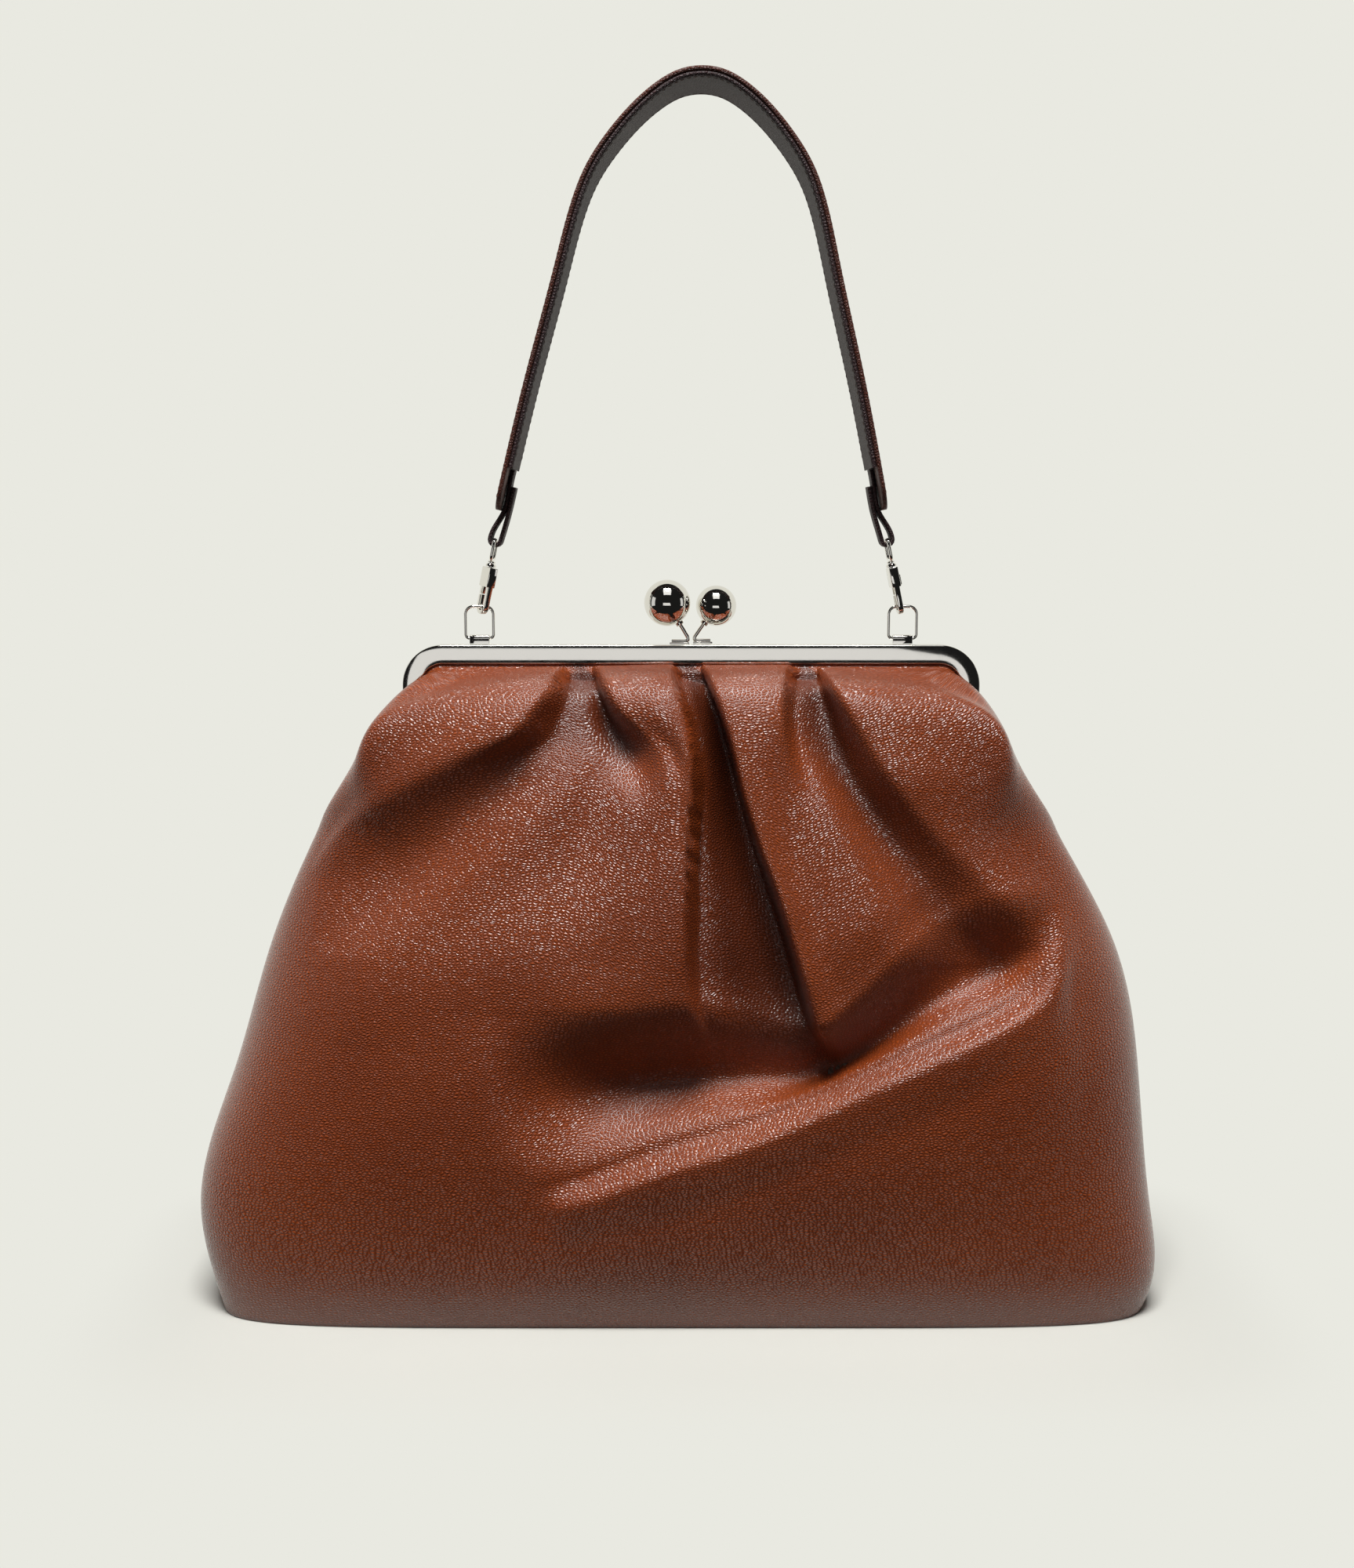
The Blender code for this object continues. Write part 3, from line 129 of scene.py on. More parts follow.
def fix_place(piece: Object, place: Matrix | None = None) -> None:
    """Moves a piece by this matrix and keeps the move in its mesh."""
    if place is not None:
        piece.data.transform(place)
    alone(piece)
    bpy.ops.object.transform_apply(location=True, rotation=True, scale=True)


def apply_modifier(piece: Object, kind: str, **settings: Any) -> None:
    """Adds a modifier with these settings and applies it.

    Args:
        piece: The piece to change.
        kind: The modifier's type.
        settings: Its settings by name.
    """
    alone(piece)
    modifier = piece.modifiers.new(kind.lower(), kind)
    for key, value in settings.items():
        setattr(modifier, key, value)
    bpy.ops.object.modifier_apply(modifier=modifier.name)


def combine(piece: Object, tool: Object, operation: str) -> None:
    """Joins a tool to a piece or cuts it out, and removes the tool."""
    apply_modifier(piece, "BOOLEAN", operation=operation, object=tool, solver="EXACT")
    bpy.data.objects.remove(tool, do_unlink=True)


def clean(piece: Object, weld: float = WELD) -> None:
    """Merges points closer than the weld, none if it is 0, and turns every face outwards."""
    alone(piece)
    bpy.ops.object.mode_set(mode="EDIT")
    bpy.ops.mesh.select_all(action="SELECT")
    if weld:
        bpy.ops.mesh.remove_doubles(threshold=weld)
    bpy.ops.mesh.normals_make_consistent(inside=False)
    bpy.ops.object.mode_set(mode="OBJECT")


def smoothed(piece: Object, angle: float = SMOOTH_ANGLE) -> Object:
    """Shades a piece smooth but for edges sharper than the angle."""
    alone(piece)
    bpy.ops.object.shade_smooth_by_angle(angle=angle)
    return piece


def converted(curve_piece: Object) -> Object:
    """A curve object made a clean mesh."""
    alone(curve_piece)
    bpy.ops.object.convert(target="MESH")
    made = bpy.context.view_layer.objects.active
    clean(made)
    return made


def add_spline(curve: Curve, places: Sequence, closed: bool) -> None:
    """Adds a polyline through these places to a curve."""
    spline = curve.splines.new("POLY")
    spline.points.add(len(places) - 1)
    for point, place in zip(spline.points, places):
        point.co = (*place, 1)
    spline.use_cyclic_u = closed


def tube(name: str, line: Points, radius: float, closed: bool = False, sides: int = 16) -> Object:
    """A round wire along a line of points.

    Args:
        name: The piece's name.
        line: The wire's middle, as rows of X, Y and Z.
        radius: The wire's radius.
        closed: Whether its ends meet.
        sides: How many faces go round it, a multiple of four.

    Returns:
        The wire, smooth, with closed ends.
    """
    curve = bpy.data.curves.new(name, "CURVE")
    curve.dimensions = "3D"
    curve.bevel_depth = radius
    curve.bevel_resolution = sides // 2 - 2
    curve.use_fill_caps = not closed
    add_spline(curve, line, closed)
    return smoothed(converted(placed(name, curve)))


def slab(name: str, outlines: Sequence[Pairs], depth: float, rounding: float, place: Matrix) -> Object:
    """A plate with rounded edges from outlines in its own X and Y.

    Args:
        name: The piece's name.
        outlines: The outer outline, then any holes.
        depth: The plate's thickness, centred on its own Z.
        rounding: The radius of its edges.
        place: Where it stands.

    Returns:
        The plate, smooth but for its sharp corners.
    """
    curve = bpy.data.curves.new(name, "CURVE")
    curve.dimensions = "2D"
    curve.fill_mode = "BOTH"
    curve.extrude = depth / 2 - rounding
    curve.bevel_depth = rounding
    curve.bevel_resolution = 2
    curve.offset = -rounding
    for outline in outlines:
        add_spline(curve, [(x, y, 0) for x, y in outline], True)
    made = converted(placed(name, curve))
    fix_place(made, place)
    return smoothed(made)


def block(name: str, low: Sequence[float], high: Sequence[float], rounding: float) -> Object:
    """A cube scaled to two corners with its edges rounded.

    Args:
        name: The piece's name.
        low: Its least X, Y and Z.
        high: Its greatest X, Y and Z.
        rounding: The radius of its edges, or 0.

    Returns:
        The block.
    """
    middle = (Vector(low) + Vector(high)) / 2
    bpy.ops.object.select_all(action="DESELECT")
    bpy.ops.mesh.primitive_cube_add(size=1, location=middle, scale=Vector(high) - Vector(low))
    made = bpy.context.view_layer.objects.active
    made.name = name
    fix_place(made)
    if rounding:
        apply_modifier(made, "BEVEL", width=rounding, segments=3)
    return smoothed(made)


def turned(name: str, profile: Pairs, place: Matrix, steps: int = 48) -> Object:
    """A profile of radius and height spun about its own Z.

    Args:
        name: The piece's name.
        profile: Radius and height down its outer side. It is closed if it starts off the axis.
        place: Where the turned piece stands.
        steps: Faces round it.

    Returns:
        The turned piece.
    """
    mesh = bpy.data.meshes.new(name)
    edges = [(i, i + 1) for i in range(len(profile) - 1)]
    if profile[0][0] > WELD:
        edges.append((len(profile) - 1, 0))
    mesh.from_pydata([(r, 0, z) for r, z in profile], edges, [])
    made = placed(name, mesh)
    bpy.ops.object.mode_set(mode="EDIT")
    bpy.ops.mesh.select_all(action="SELECT")
    bpy.ops.mesh.spin(steps=steps, angle=2 * math.pi, center=(0, 0, 0), axis=(0, 0, 1))
    bpy.ops.object.mode_set(mode="OBJECT")
    clean(made)
    fix_place(made, place)
    return smoothed(made)


def settle(
    piece: Object, finish: Material, body: str, replaced: Sequence[str] = ()
) -> Object:
    """Gives a finished piece its material and lets it ride on its body.

    Args:
        piece: The finished piece.
        finish: Its material.
        body: The CAD body that it moves with.
        replaced: The CAD nodes that it stands for.

    Returns:
        The piece.
    """
    if not piece.data.materials:
        piece.data.materials.append(finish)
    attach(piece, body)
    if replaced:
        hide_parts(*replaced)
    log.info("%s rides on %s", piece.name, body)
    return piece


# Lines and skins


def ease(low: float, high: float, value: Points) -> Points:
    """0 below low, 1 above high, smooth between."""
    share = np.clip((value - low) / (high - low), 0, 1)
    return share * share * (3 - 2 * share)


def lengths_along(points: Points) -> Points:
    """The distance of each point from the first along the line."""
    steps = np.linalg.norm(np.diff(points, axis=0), axis=1)
    return np.concatenate(([0], np.cumsum(steps)))


def read_line(points: Points, wanted: Points) -> Points:
    """The points at these distances along a line."""
    along = lengths_along(points)
    return np.stack([np.interp(wanted, along, points[:, k]) for k in range(points.shape[1])], 1)


def spread(points: Points, count: int) -> Points:
    """A count of points at even distances along a line."""
    return read_line(points, np.linspace(0, lengths_along(points)[-1], count))


def natural_spline(rows: Points, knots: Points, wanted: Points) -> Points:
    """A natural cubic spline through rows of points.

    Args:
        rows: The points, or lines of points, that it passes through.
        knots: How far along it meets each row.
        wanted: How far along it is read.

    Returns:
        A row for each of the wanted distances.
    """
    count = len(knots)
    steps = np.diff(knots)
    system = np.eye(count)
    right = np.zeros(rows.shape)
    for i in range(1, count - 1):
        system[i, i - 1 : i + 2] = steps[i - 1], 2 * (steps[i - 1] + steps[i]), steps[i]
        right[i] = 6 * ((rows[i + 1] - rows[i]) / steps[i] - (rows[i] - rows[i - 1]) / steps[i - 1])
    bend = np.linalg.solve(system, right.reshape(count, -1)).reshape(rows.shape)
    span = np.clip(np.searchsorted(knots, wanted) - 1, 0, count - 2)
    column = (-1,) + (1,) * (rows.ndim - 1)
    length = steps[span].reshape(column)
    a = (knots[span + 1] - wanted).reshape(column) / length
    b = 1 - a
    curl = ((a**3 - a) * bend[span] + (b**3 - b) * bend[span + 1]) * length**2 / 6
    return a * rows[span] + b * rows[span + 1] + curl


def smooth_line(points: Points, count: int) -> Points:
    """A smooth curve through a few points, spread evenly."""
    along = lengths_along(points)
    fine = natural_spline(points, along, np.linspace(0, along[-1], 8 * count))
    return spread(fine, count)


def skin(lines: Sequence[Points], rows: int) -> Points:
    """Rows of points on a smooth surface through a few lines.

    Args:
        lines: Lines with the same count of points.
        rows: How many rows the surface gets.

    Returns:
        The rows, from the first line to the last.
    """
    stacked = np.array(lines)
    knots = np.linalg.norm(np.diff(stacked, axis=0), axis=2).mean(axis=1)
    knots = np.concatenate(([0], np.cumsum(knots)))
    return natural_spline(stacked, knots, np.linspace(0, knots[-1], rows))


def arc(centre: tuple[float, float], radius: float, start: float, end: float, steps: int) -> list:
    """Points on an arc, both ends included.

    Args:
        centre: The arc's centre.
        radius: Its radius.
        start: The angle that it starts from, in degrees.
        end: The angle that it ends at, in degrees.
        steps: How many steps it takes.

    Returns:
        The points as pairs.
    """
    angles = [math.radians(start + (end - start) * i / steps) for i in range(steps + 1)]
    return [(centre[0] + radius * math.cos(a), centre[1] + radius * math.sin(a)) for a in angles]


def filleted(corners: Pairs, radii: Sequence[float], steps: int = 4) -> list:
    """A closed outline with rounded corners.

    Args:
        corners: The outline's corners.
        radii: How far from each corner its rounding starts.
        steps: How many steps each rounding takes.

    Returns:
        The outline's points as pairs.
    """
    outline = []
    count = len(corners)
    for i, corner in enumerate(corners):
        here = Vector(corner)
        before = (Vector(corners[i - 1]) - here).normalized() * radii[i]
        after = (Vector(corners[(i + 1) % count]) - here).normalized() * radii[i]
        for step in range(steps + 1):
            t = step / steps
            outline.append(tuple(here + before * (1 - t) ** 2 + after * t**2))
    return outline


def normals_of(rows: Points) -> Points:
    """The outward normal at each point of a front panel's rows."""
    normals = np.cross(np.gradient(rows, axis=1), np.gradient(rows, axis=0))
    return normals / np.maximum(np.linalg.norm(normals, axis=2, keepdims=True), 1e-12)


def grid_faces(high: int, wide: int) -> list:
    """Faces over rows of points, pointing out of a front panel."""
    faces = []
    for i in range(high - 1):
        for j in range(wide - 1):
            a = i * wide + j
            faces.append((a, a + 1, a + wide + 1, a + wide))
    return faces


# The frame's and the body's shapes, which several pieces share


@dataclass(frozen=True)
class FrameForm:
    """The U of the two hinged channels."""

    width: float = 250 * MM
    top: float = 290.8 * MM
    hinge_drop: float = 60.8 * MM
    depth: float = 5 * MM
    face: float = 8 * MM
    wall: float = 0.8 * MM
    corner: float = 17.5 * MM
    plate_radius: float = 4 * MM
    plate_neck: float = 6 * MM
    plate_set_back: float = 0.1 * MM
    foot_rise: float = 1.2 * MM
    corner_steps: int = 18

    @property
    def hinge_height(self) -> float:
        """The rivets' height."""
        return self.top - self.hinge_drop

    @property
    def foot_height(self) -> float:
        """Where the channels' legs end, above the hinge plates."""
        return self.hinge_height + self.plate_radius + self.foot_rise

    @property
    def slot_face(self) -> float:
        """The front channel's inner front face, in Y."""
        return -(GAP / 2 + self.depth - self.wall)

    def middle(self, half: Half) -> float:
        """The middle of a half's channel, in Y."""
        return half.value * (GAP + self.depth) / 2

    def u_line(self, inset: float, foot: float) -> Points:
        """The U in X and Z, this far inside its outer edge, from the left foot to the right."""
        radius = max(self.corner - inset, GAP)
        wide = self.width / 2 - inset
        height = self.top - inset
        corner = arc((-wide + radius, height - radius), radius, 180, 90, self.corner_steps)
        half = [(-wide, foot)] + corner
        return np.array(half + [(-x, z) for x, z in reversed(half)])


@dataclass(frozen=True)
class BodyForm:
    """The leather body as lines from the floor up to the channels."""

    frame: FrameForm
    half_width: float = 210 * MM
    half_depth: float = 56 * MM
    leather: float = 1.3 * MM
    skived: float = 0.8 * MM
    seam_lift: float = 0.4 * MM
    roll_drop: float = 12.5 * MM
    roll_side: float = 6.5 * MM
    roll_out: float = 9 * MM
    roll_tail: float = 4.5 * MM
    lip_drop: float = 1.8 * MM
    lip_side: float = 2.4 * MM
    mouth_drop: float = 0.6 * MM
    seat_depth: float = 5.6 * MM
    corner_share: float = 0.72
    corner_blend: float = 0.08
    rise_power: float = 2.5
    hollow_power: float = 10
    tail_power: float = 16
    # Rise and rise at the side seam, widths left and right, the side seam's hollow, depth, squareness
    stations: tuple = (
        (0.048, 0.048, 1.000, 0.972, 0.000, 0.920, 5.4),
        (0.196, 0.196, 1.034, 0.969, 0.000, 1.000, 4.2),
        (0.457, 0.457, 0.961, 0.942, 0.000, 1.020, 3.2),
        (0.739, 0.722, 0.874, 0.880, 0.006, 0.885, 2.8),
        (0.960, 0.900, 0.803, 0.787, 0.035, 0.715, 2.8),
    )
    foot: tuple = (0.985, 0.952, 0.860, 6.0)
    # The shoulder's curve, from the side seams to the middle: left, right, depth, rise
    shoulder: tuple = (
        (1.179, 1.203, 0.000, -0.220),
        (1.190, 1.166, 0.230, 0.016),
        (1.127, 1.092, 0.420, 0.286),
        (1.067, 1.031, 0.515, 0.502),
        (0.972, 0.972, 0.518, 0.590),
        (0.784, 0.784, 0.500, 0.656),
        (0.480, 0.480, 0.482, 0.674),
        (0.000, 0.000, 0.482, 0.674),
    )

    def section(self, left: float, right: float, depth: float, square: float, count: int) -> Points:
        """The front half of a rounded section, from the left seam round to the right.

        Args:
            left: Its width left of the middle.
            right: Its width right of the middle.
            depth: How far it comes forward.
            square: 2 for an ellipse, more for squarer corners.
            count: How many points it gets.

        Returns:
            The section's points at no height.
        """
        angles = np.linspace(-math.pi / 2, math.pi / 2, 16 * count)
        across = np.sign(np.sin(angles)) * np.abs(np.sin(angles)) ** (2 / square)
        forward = np.abs(np.cos(angles)) ** (2 / square)
        wide = np.where(across < 0, left, right) * across
        return spread(np.stack([wide, -depth * forward - GAP / 2, np.zeros_like(wide)], 1), count)

    def foot_line(self, inset: float, count: int) -> Points:
        """The body's line on the floor, drawn in by an inset."""
        left, right, depth, square = self.foot
        wide = (self.half_width * left - inset, self.half_width * right - inset)
        return self.section(*wide, self.half_depth * depth - inset, square, count)

    def station(
        self, shares: tuple, count: int, side_inset: float = 0.0, front_inset: float = 0.0
    ) -> Points:
        """One line round the body.

        Args:
            shares: A row of the stations' table.
            count: How many points it gets.
            side_inset: How far it is drawn in at its sides.
            front_inset: How far it is drawn in at its front.

        Returns:
            The line's points.
        """
        rise, side_rise, left, right, hollow, depth, square = shares
        half = self.half_width
        depth = self.half_depth * depth - front_inset
        wide = (half * left - side_inset, half * right - side_inset)
        line = self.section(*wide, depth, square, count)
        along = np.linspace(-1, 1, count)
        line[:, 0] -= np.sign(along) * half * hollow * np.abs(along) ** self.hollow_power
        rises = rise + (side_rise - rise) * np.abs(along) ** self.rise_power
        line[:, 2] = self.frame.hinge_height * rises
        return line

    def channel_line(
        self, top_inset: float, leg_inset: float, y_top: float, y_leg: float, count: int
    ) -> Points:
        """A line along the frame's U that differs between its top and its legs.

        Args:
            top_inset: How far inside the frame's outer edge its top runs.
            leg_inset: How far inside that edge its legs run.
            y_top: The top's Y.
            y_leg: The legs' Y.
            count: How many points it gets.

        Returns:
            The line's points.
        """
        along = np.abs(np.linspace(-1, 1, count))
        share, blend = self.corner_share, self.corner_blend
        leg = ease(share - blend, share + blend, along)[:, None]
        lines = []
        for inset, y in ((top_inset, y_top), (leg_inset, y_leg)):
            flat = self.frame.u_line(inset, self.frame.foot_height + GAP)
            line = np.insert(flat, 1, y, axis=1)
            lines.append(spread(line, count))
        return lines[0] * (1 - leg) + lines[1] * leg

    def bulge_line(self, shares: tuple, count: int) -> Points:
        """A smooth line from seam to seam round the legs.

        Args:
            shares: Its points from a seam to the middle, as the shoulder's table has them.
            count: How many points it gets.

        Returns:
            The line's points.
        """
        left, right, depth, rise = np.array(shares).T
        half = self.frame.width / 2
        y = -depth * self.half_depth - GAP / 2
        z = rise * self.frame.hinge_drop + self.frame.hinge_height
        towards = np.stack([-left * half, y, z], 1)
        onwards = np.stack([right * half, y, z], 1)[-2::-1]
        return smooth_line(np.concatenate([towards, onwards]), count)

    def leather_rows(self, count: int, rows: int) -> Points:
        """The front panel's outer face without folds.

        Args:
            count: How many points each row gets.
            rows: How many rows there are from the floor to the channel.

        Returns:
            The rows of points.
        """
        foot = self.foot_line(0, count)
        foot[:, 2] = self.seam_lift
        face = self.frame.slot_face + GAP
        out = -self.roll_out
        roll = self.channel_line(self.roll_drop, self.roll_side, out, out, count)
        along = np.linspace(-1, 1, count)
        tail = self.roll_tail * np.abs(along) ** self.tail_power
        roll[:, 0] += np.sign(along) * tail
        roll[:, 2] -= tail
        lip_y = face - self.skived
        edge = self.frame.face
        lip = self.channel_line(
            edge + self.lip_drop, edge + self.lip_side, lip_y, lip_y - self.leather, count
        )
        lines = [foot] + [self.station(shares, count) for shares in self.stations]
        lines += [self.bulge_line(self.shoulder, count), roll, lip]
        return skin(lines, rows)

    def slot_rows(self, face: float, count: int, rows: int) -> Points:
        """Rows from the channel's mouth up to a sheet's seat in it.

        Args:
            face: The sheet's outer face in Y.
            count: How many points each row gets.
            rows: How many rows there are.

        Returns:
            The rows of points.
        """
        edge = self.frame.face
        mouth = self.channel_line(edge + self.mouth_drop, edge + self.mouth_drop, face, face, count)
        seat = self.channel_line(edge - self.seat_depth, edge - self.seat_depth, face, face, count)
        shares = np.linspace(0, 1, rows)[:, None, None]
        return mouth * (1 - shares) + seat * shares


# Finishes


def linear(code: str) -> tuple[float, float, float, float]:
    """The linear colour of an sRGB hex code."""
    channels = [int(code[i : i + 2], 16) / 255 for i in (1, 3, 5)]
    values = [c / 12.92 if c <= 0.04045 else ((c + 0.055) / 1.055) ** 2.4 for c in channels]
    return (*values, 1.0)


def plug(tree: NodeTree, node: Node, inputs: Mapping[Any, Any]) -> None:
    """Gives a node's inputs, by name or number, their values or links them to output sockets."""
    for key, value in inputs.items():
        if isinstance(value, NodeSocket):
            tree.links.new(value, node.inputs[key])
        else:
            node.inputs[key].default_value = value


def add_node(
    tree: NodeTree,
    kind: str,
    settings: Mapping[str, Any] | None = None,
    inputs: Mapping[Any, Any] | None = None,
) -> Node:
    """Adds a node with its settings and links.

    Args:
        tree: The node tree.
        kind: The node's type.
        settings: Its properties by name.
        inputs: Values or output sockets by input name or number.

    Returns:
        The node.
    """
    made = tree.nodes.new(kind)
    for key, value in (settings or {}).items():
        setattr(made, key, value)
    plug(tree, made, inputs or {})
    return made


def noise(
    tree: NodeTree, place: NodeSocket, scale: float, detail: float, roughness: float = 0.5,
    flat: bool = False,
) -> NodeSocket:
    """A noise's value at a place.

    Args:
        tree: The node tree.
        place: Where it is read.
        scale: How many swells it has in a metre.
        detail: How many finer layers it has.
        roughness: How strong the finer layers are.
        flat: Whether the place is on a map.

    Returns:
        The value's socket.
    """
    return add_node(
        tree, "ShaderNodeTexNoise", {"noise_dimensions": "2D" if flat else "3D"},
        {"Vector": place, "Scale": scale, "Detail": detail, "Roughness": roughness},
    ).outputs["Fac"]


def ranged(
    tree: NodeTree, value: NodeSocket, low: float, high: float, start: float = 0.0,
    end: float = 1.0, smooth: bool = False,
) -> NodeSocket:
    """A value carried over to another range.

    Args:
        tree: The node tree.
        value: The value's socket.
        low: What it becomes at the start.
        high: What it becomes at the end.
        start: Where the value's own range starts.
        end: Where that range ends.
        smooth: Whether it eases in and out.

    Returns:
        The new value's socket.
    """
    return add_node(
        tree, "ShaderNodeMapRange", {"interpolation_type": "SMOOTHSTEP" if smooth else "LINEAR"},
        {"Value": value, "From Min": start, "From Max": end, "To Min": low, "To Max": high},
    ).outputs["Result"]


def between(tree: NodeTree, share: NodeSocket, first: Any, second: Any) -> NodeSocket:
    """A colour between two, each of them a hex code or a socket."""
    first, second = (linear(code) if isinstance(code, str) else code for code in (first, second))
    return add_node(
        tree, "ShaderNodeMix", {"data_type": "RGBA"}, {"Factor": share, 6: first, 7: second}
    ).outputs[2]


def bump(tree: NodeTree, height: NodeSocket, distance: float, strength: float) -> NodeSocket:
    """The normal that a height gives."""
    inputs = {"Strength": strength, "Distance": distance, "Height": height}
    return add_node(tree, "ShaderNodeBump", None, inputs).outputs["Normal"]


def reckon(tree: NodeTree, operation: str, *values: Any) -> NodeSocket:
    """What a maths operation makes of values and sockets."""
    made = add_node(tree, "ShaderNodeMath", {"operation": operation}, dict(enumerate(values)))
    return made.outputs["Value"]


def own_place(tree: NodeTree) -> NodeSocket:
    """Places in the piece's own metres."""
    return add_node(tree, "ShaderNodeTexCoord").outputs["Object"]


def grain_place(tree: NodeTree) -> NodeSocket:
    """Places along the sheet, in metres."""
    return add_node(tree, "ShaderNodeUVMap", {"uv_map": GRAIN_MAP}).outputs["UV"]


def diagonal_bands(tree: NodeTree, place: NodeSocket, more: Mapping[str, Any]) -> NodeSocket:
    """Diagonal bands at a place, with more inputs by name."""
    settings = {"wave_type": "BANDS", "bands_direction": "DIAGONAL"}
    return add_node(tree, "ShaderNodeTexWave", settings, {"Vector": place, **more}).outputs["Fac"]


def blank(name: str) -> tuple[Material, NodeTree, Node]:
    """A new material with its node tree and its shader."""
    made = bpy.data.materials.new(name)
    made.use_nodes = True
    return made, made.node_tree, made.node_tree.nodes["Principled BSDF"]


class Finish:
    """A surface that is made once as a material."""

    name: str

    def inputs(self, tree: NodeTree) -> dict[str, Any]:
        """What the surface gives the shader, by input name."""
        raise NotImplementedError

    def material(self) -> Material:
        """The finish's material."""
        made, tree, shader = blank(self.name)
        plug(tree, shader, self.inputs(tree))
        return made


@dataclass(frozen=True)
class PebbledCalf(Finish):
    """Drum-tumbled calf under a clear finish: pebbles over a millimetre wide, glossy on top."""

    name: str = "pebbled_calf"
    shade: str = "#B4531F"
    deep: str = "#9C4416"
    crease: str = "#6E2C0E"
    # The dark colour painted deep in a pleat as shade
    pleat_shade: str = "#3A1407"
    pebble: float = 1.45 * MM
    relief: float = 0.25 * MM
    top_roughness: float = 0.28
    crease_roughness: float = 0.40
    coat: float = 1.0
    coat_roughness: float = 0.27
    # How the rows of pebbles wander and how their cells are squeezed
    wander: float = 0.25
    drift: float = 0.0012
    squeeze: tuple = (0.82, 1.2, 1.0)
    randomness: float = 0.9
    # How far a crease and a dome reach in a cell, and how low the dome's edge lies
    crease_reach: float = 0.52
    dome_reach: float = 0.8
    dome_edge: float = 0.70
    pore_density: float = 2.4
    pore_depth: float = 0.08
    # How much of the deep tone, the darker crease colour and the painted pleat shade shows at most
    tone_scale: float = 14.0
    tone_share: float = 0.65
    tone_range: tuple = (0.35, 0.70)
    crease_share: float = 0.75
    pleat_shade_share: float = 0.75

    def inputs(self, tree: NodeTree) -> dict[str, Any]:
        """Pebbles from cells along the hide, with fine pores, slow changes of tone, darker creases and
        painted shade in pleats.
        """
        place = grain_place(tree)
        wander = add_node(
            tree, "ShaderNodeTexNoise", {"noise_dimensions": "2D"},
            {"Vector": place, "Scale": self.wander / self.pebble, "Detail": 2.0},
        ).outputs["Color"]
        shifted = add_node(
            tree, "ShaderNodeMix", {"data_type": "VECTOR"}, {"Factor": self.drift, 4: place, 5: wander}
        ).outputs[1]
        squeezed = add_node(
            tree, "ShaderNodeMapping", None, {"Vector": shifted, "Scale": self.squeeze}
        ).outputs["Vector"]
        cells, domes = (
            add_node(
                tree, "ShaderNodeTexVoronoi", {"voronoi_dimensions": "2D", "feature": feature},
                {"Vector": squeezed, "Scale": 1 / self.pebble, "Randomness": self.randomness},
            ).outputs["Distance"]
            for feature in ("DISTANCE_TO_EDGE", "F1")
        )
        crease = ranged(tree, cells, 0.0, 1.0, end=self.crease_reach, smooth=True)
        dome = ranged(tree, domes, 1.0, self.dome_edge, end=self.dome_reach)
        pores = noise(tree, place, self.pore_density / self.pebble, 3.0, flat=True)
        rise = reckon(tree, "MULTIPLY", crease, dome)
        height = reckon(tree, "MULTIPLY_ADD", pores, self.pore_depth, rise)
        tone = noise(tree, place, self.tone_scale, 4.0, 0.55, flat=True)
        toned = ranged(tree, tone, 0.0, self.tone_share, *self.tone_range)
        hide = between(tree, toned, self.shade, self.deep)
        # Creases between pebbles are darker, partly the leather's own tone and partly painted shade
        colour = between(tree, ranged(tree, crease, self.crease_share, 0.0), hide, self.crease)
        # Painted shade: the deeper a point lies in a pleat, the more its colour turns to the dark pleat
        # shade
        depth = add_node(tree, "ShaderNodeAttribute", {"attribute_name": PLEAT_SHADE_DEPTH}).outputs["Fac"]
        pleat_shade_mask = ranged(tree, depth, 0.0, self.pleat_shade_share, start=0.05, smooth=True)
        normal = bump(tree, height, self.relief, 1.0)
        # The clear finish follows the pebbles, so each one catches the lamp in a glint
        return {
            "Base Color": between(tree, pleat_shade_mask, colour, self.pleat_shade),
            "Roughness": ranged(tree, crease, self.crease_roughness, self.top_roughness),
            "Normal": normal,
            "IOR": 1.5,
            "Coat Weight": self.coat,
            "Coat Roughness": self.coat_roughness,
            "Coat Normal": normal,
        }


@dataclass(frozen=True)
class NickelPlate(Finish):
    """Polished nickel plate: a mirror with the faintest waves and rubbed haze."""

    name: str = "polished_nickel_plate"
    shade: str = "#E9E6DF"
    roughness: float = 0.045
    haze_scale: float = 240.0
    wave_scale: float = 90.0
    wave_height: float = 0.02 * MM
    wave_strength: float = 0.3

    def inputs(self, tree: NodeTree) -> dict[str, Any]:
        """A metal mirror whose haze changes slowly over the surface."""
        place = own_place(tree)
        haze = noise(tree, place, self.haze_scale, 3.0)
        waves = noise(tree, place, self.wave_scale, 1.0)
        return {
            "Base Color": linear(self.shade),
            "Metallic": 1.0,
            "Roughness": ranged(tree, haze, self.roughness / 2, self.roughness * 2),
            "Normal": bump(tree, waves, self.wave_height, self.wave_strength),
        }


@dataclass(frozen=True)
class DrawnWire(Finish):
    """Drawn spring steel: grey, with draw lines along the wire that dull its gloss."""

    name: str = "drawn_spring_steel"
    shade: str = "#A9A9AC"
    streak_scale: float = 4000.0
    roughness: tuple = (0.22, 0.42)

    def inputs(self, tree: NodeTree) -> dict[str, Any]:
        """A grey metal with fine streaks."""
        streaks = noise(tree, own_place(tree), self.streak_scale, 2.0)
        rough = ranged(tree, streaks, *self.roughness)
        return {"Base Color": linear(self.shade), "Metallic": 1.0, "Roughness": rough}


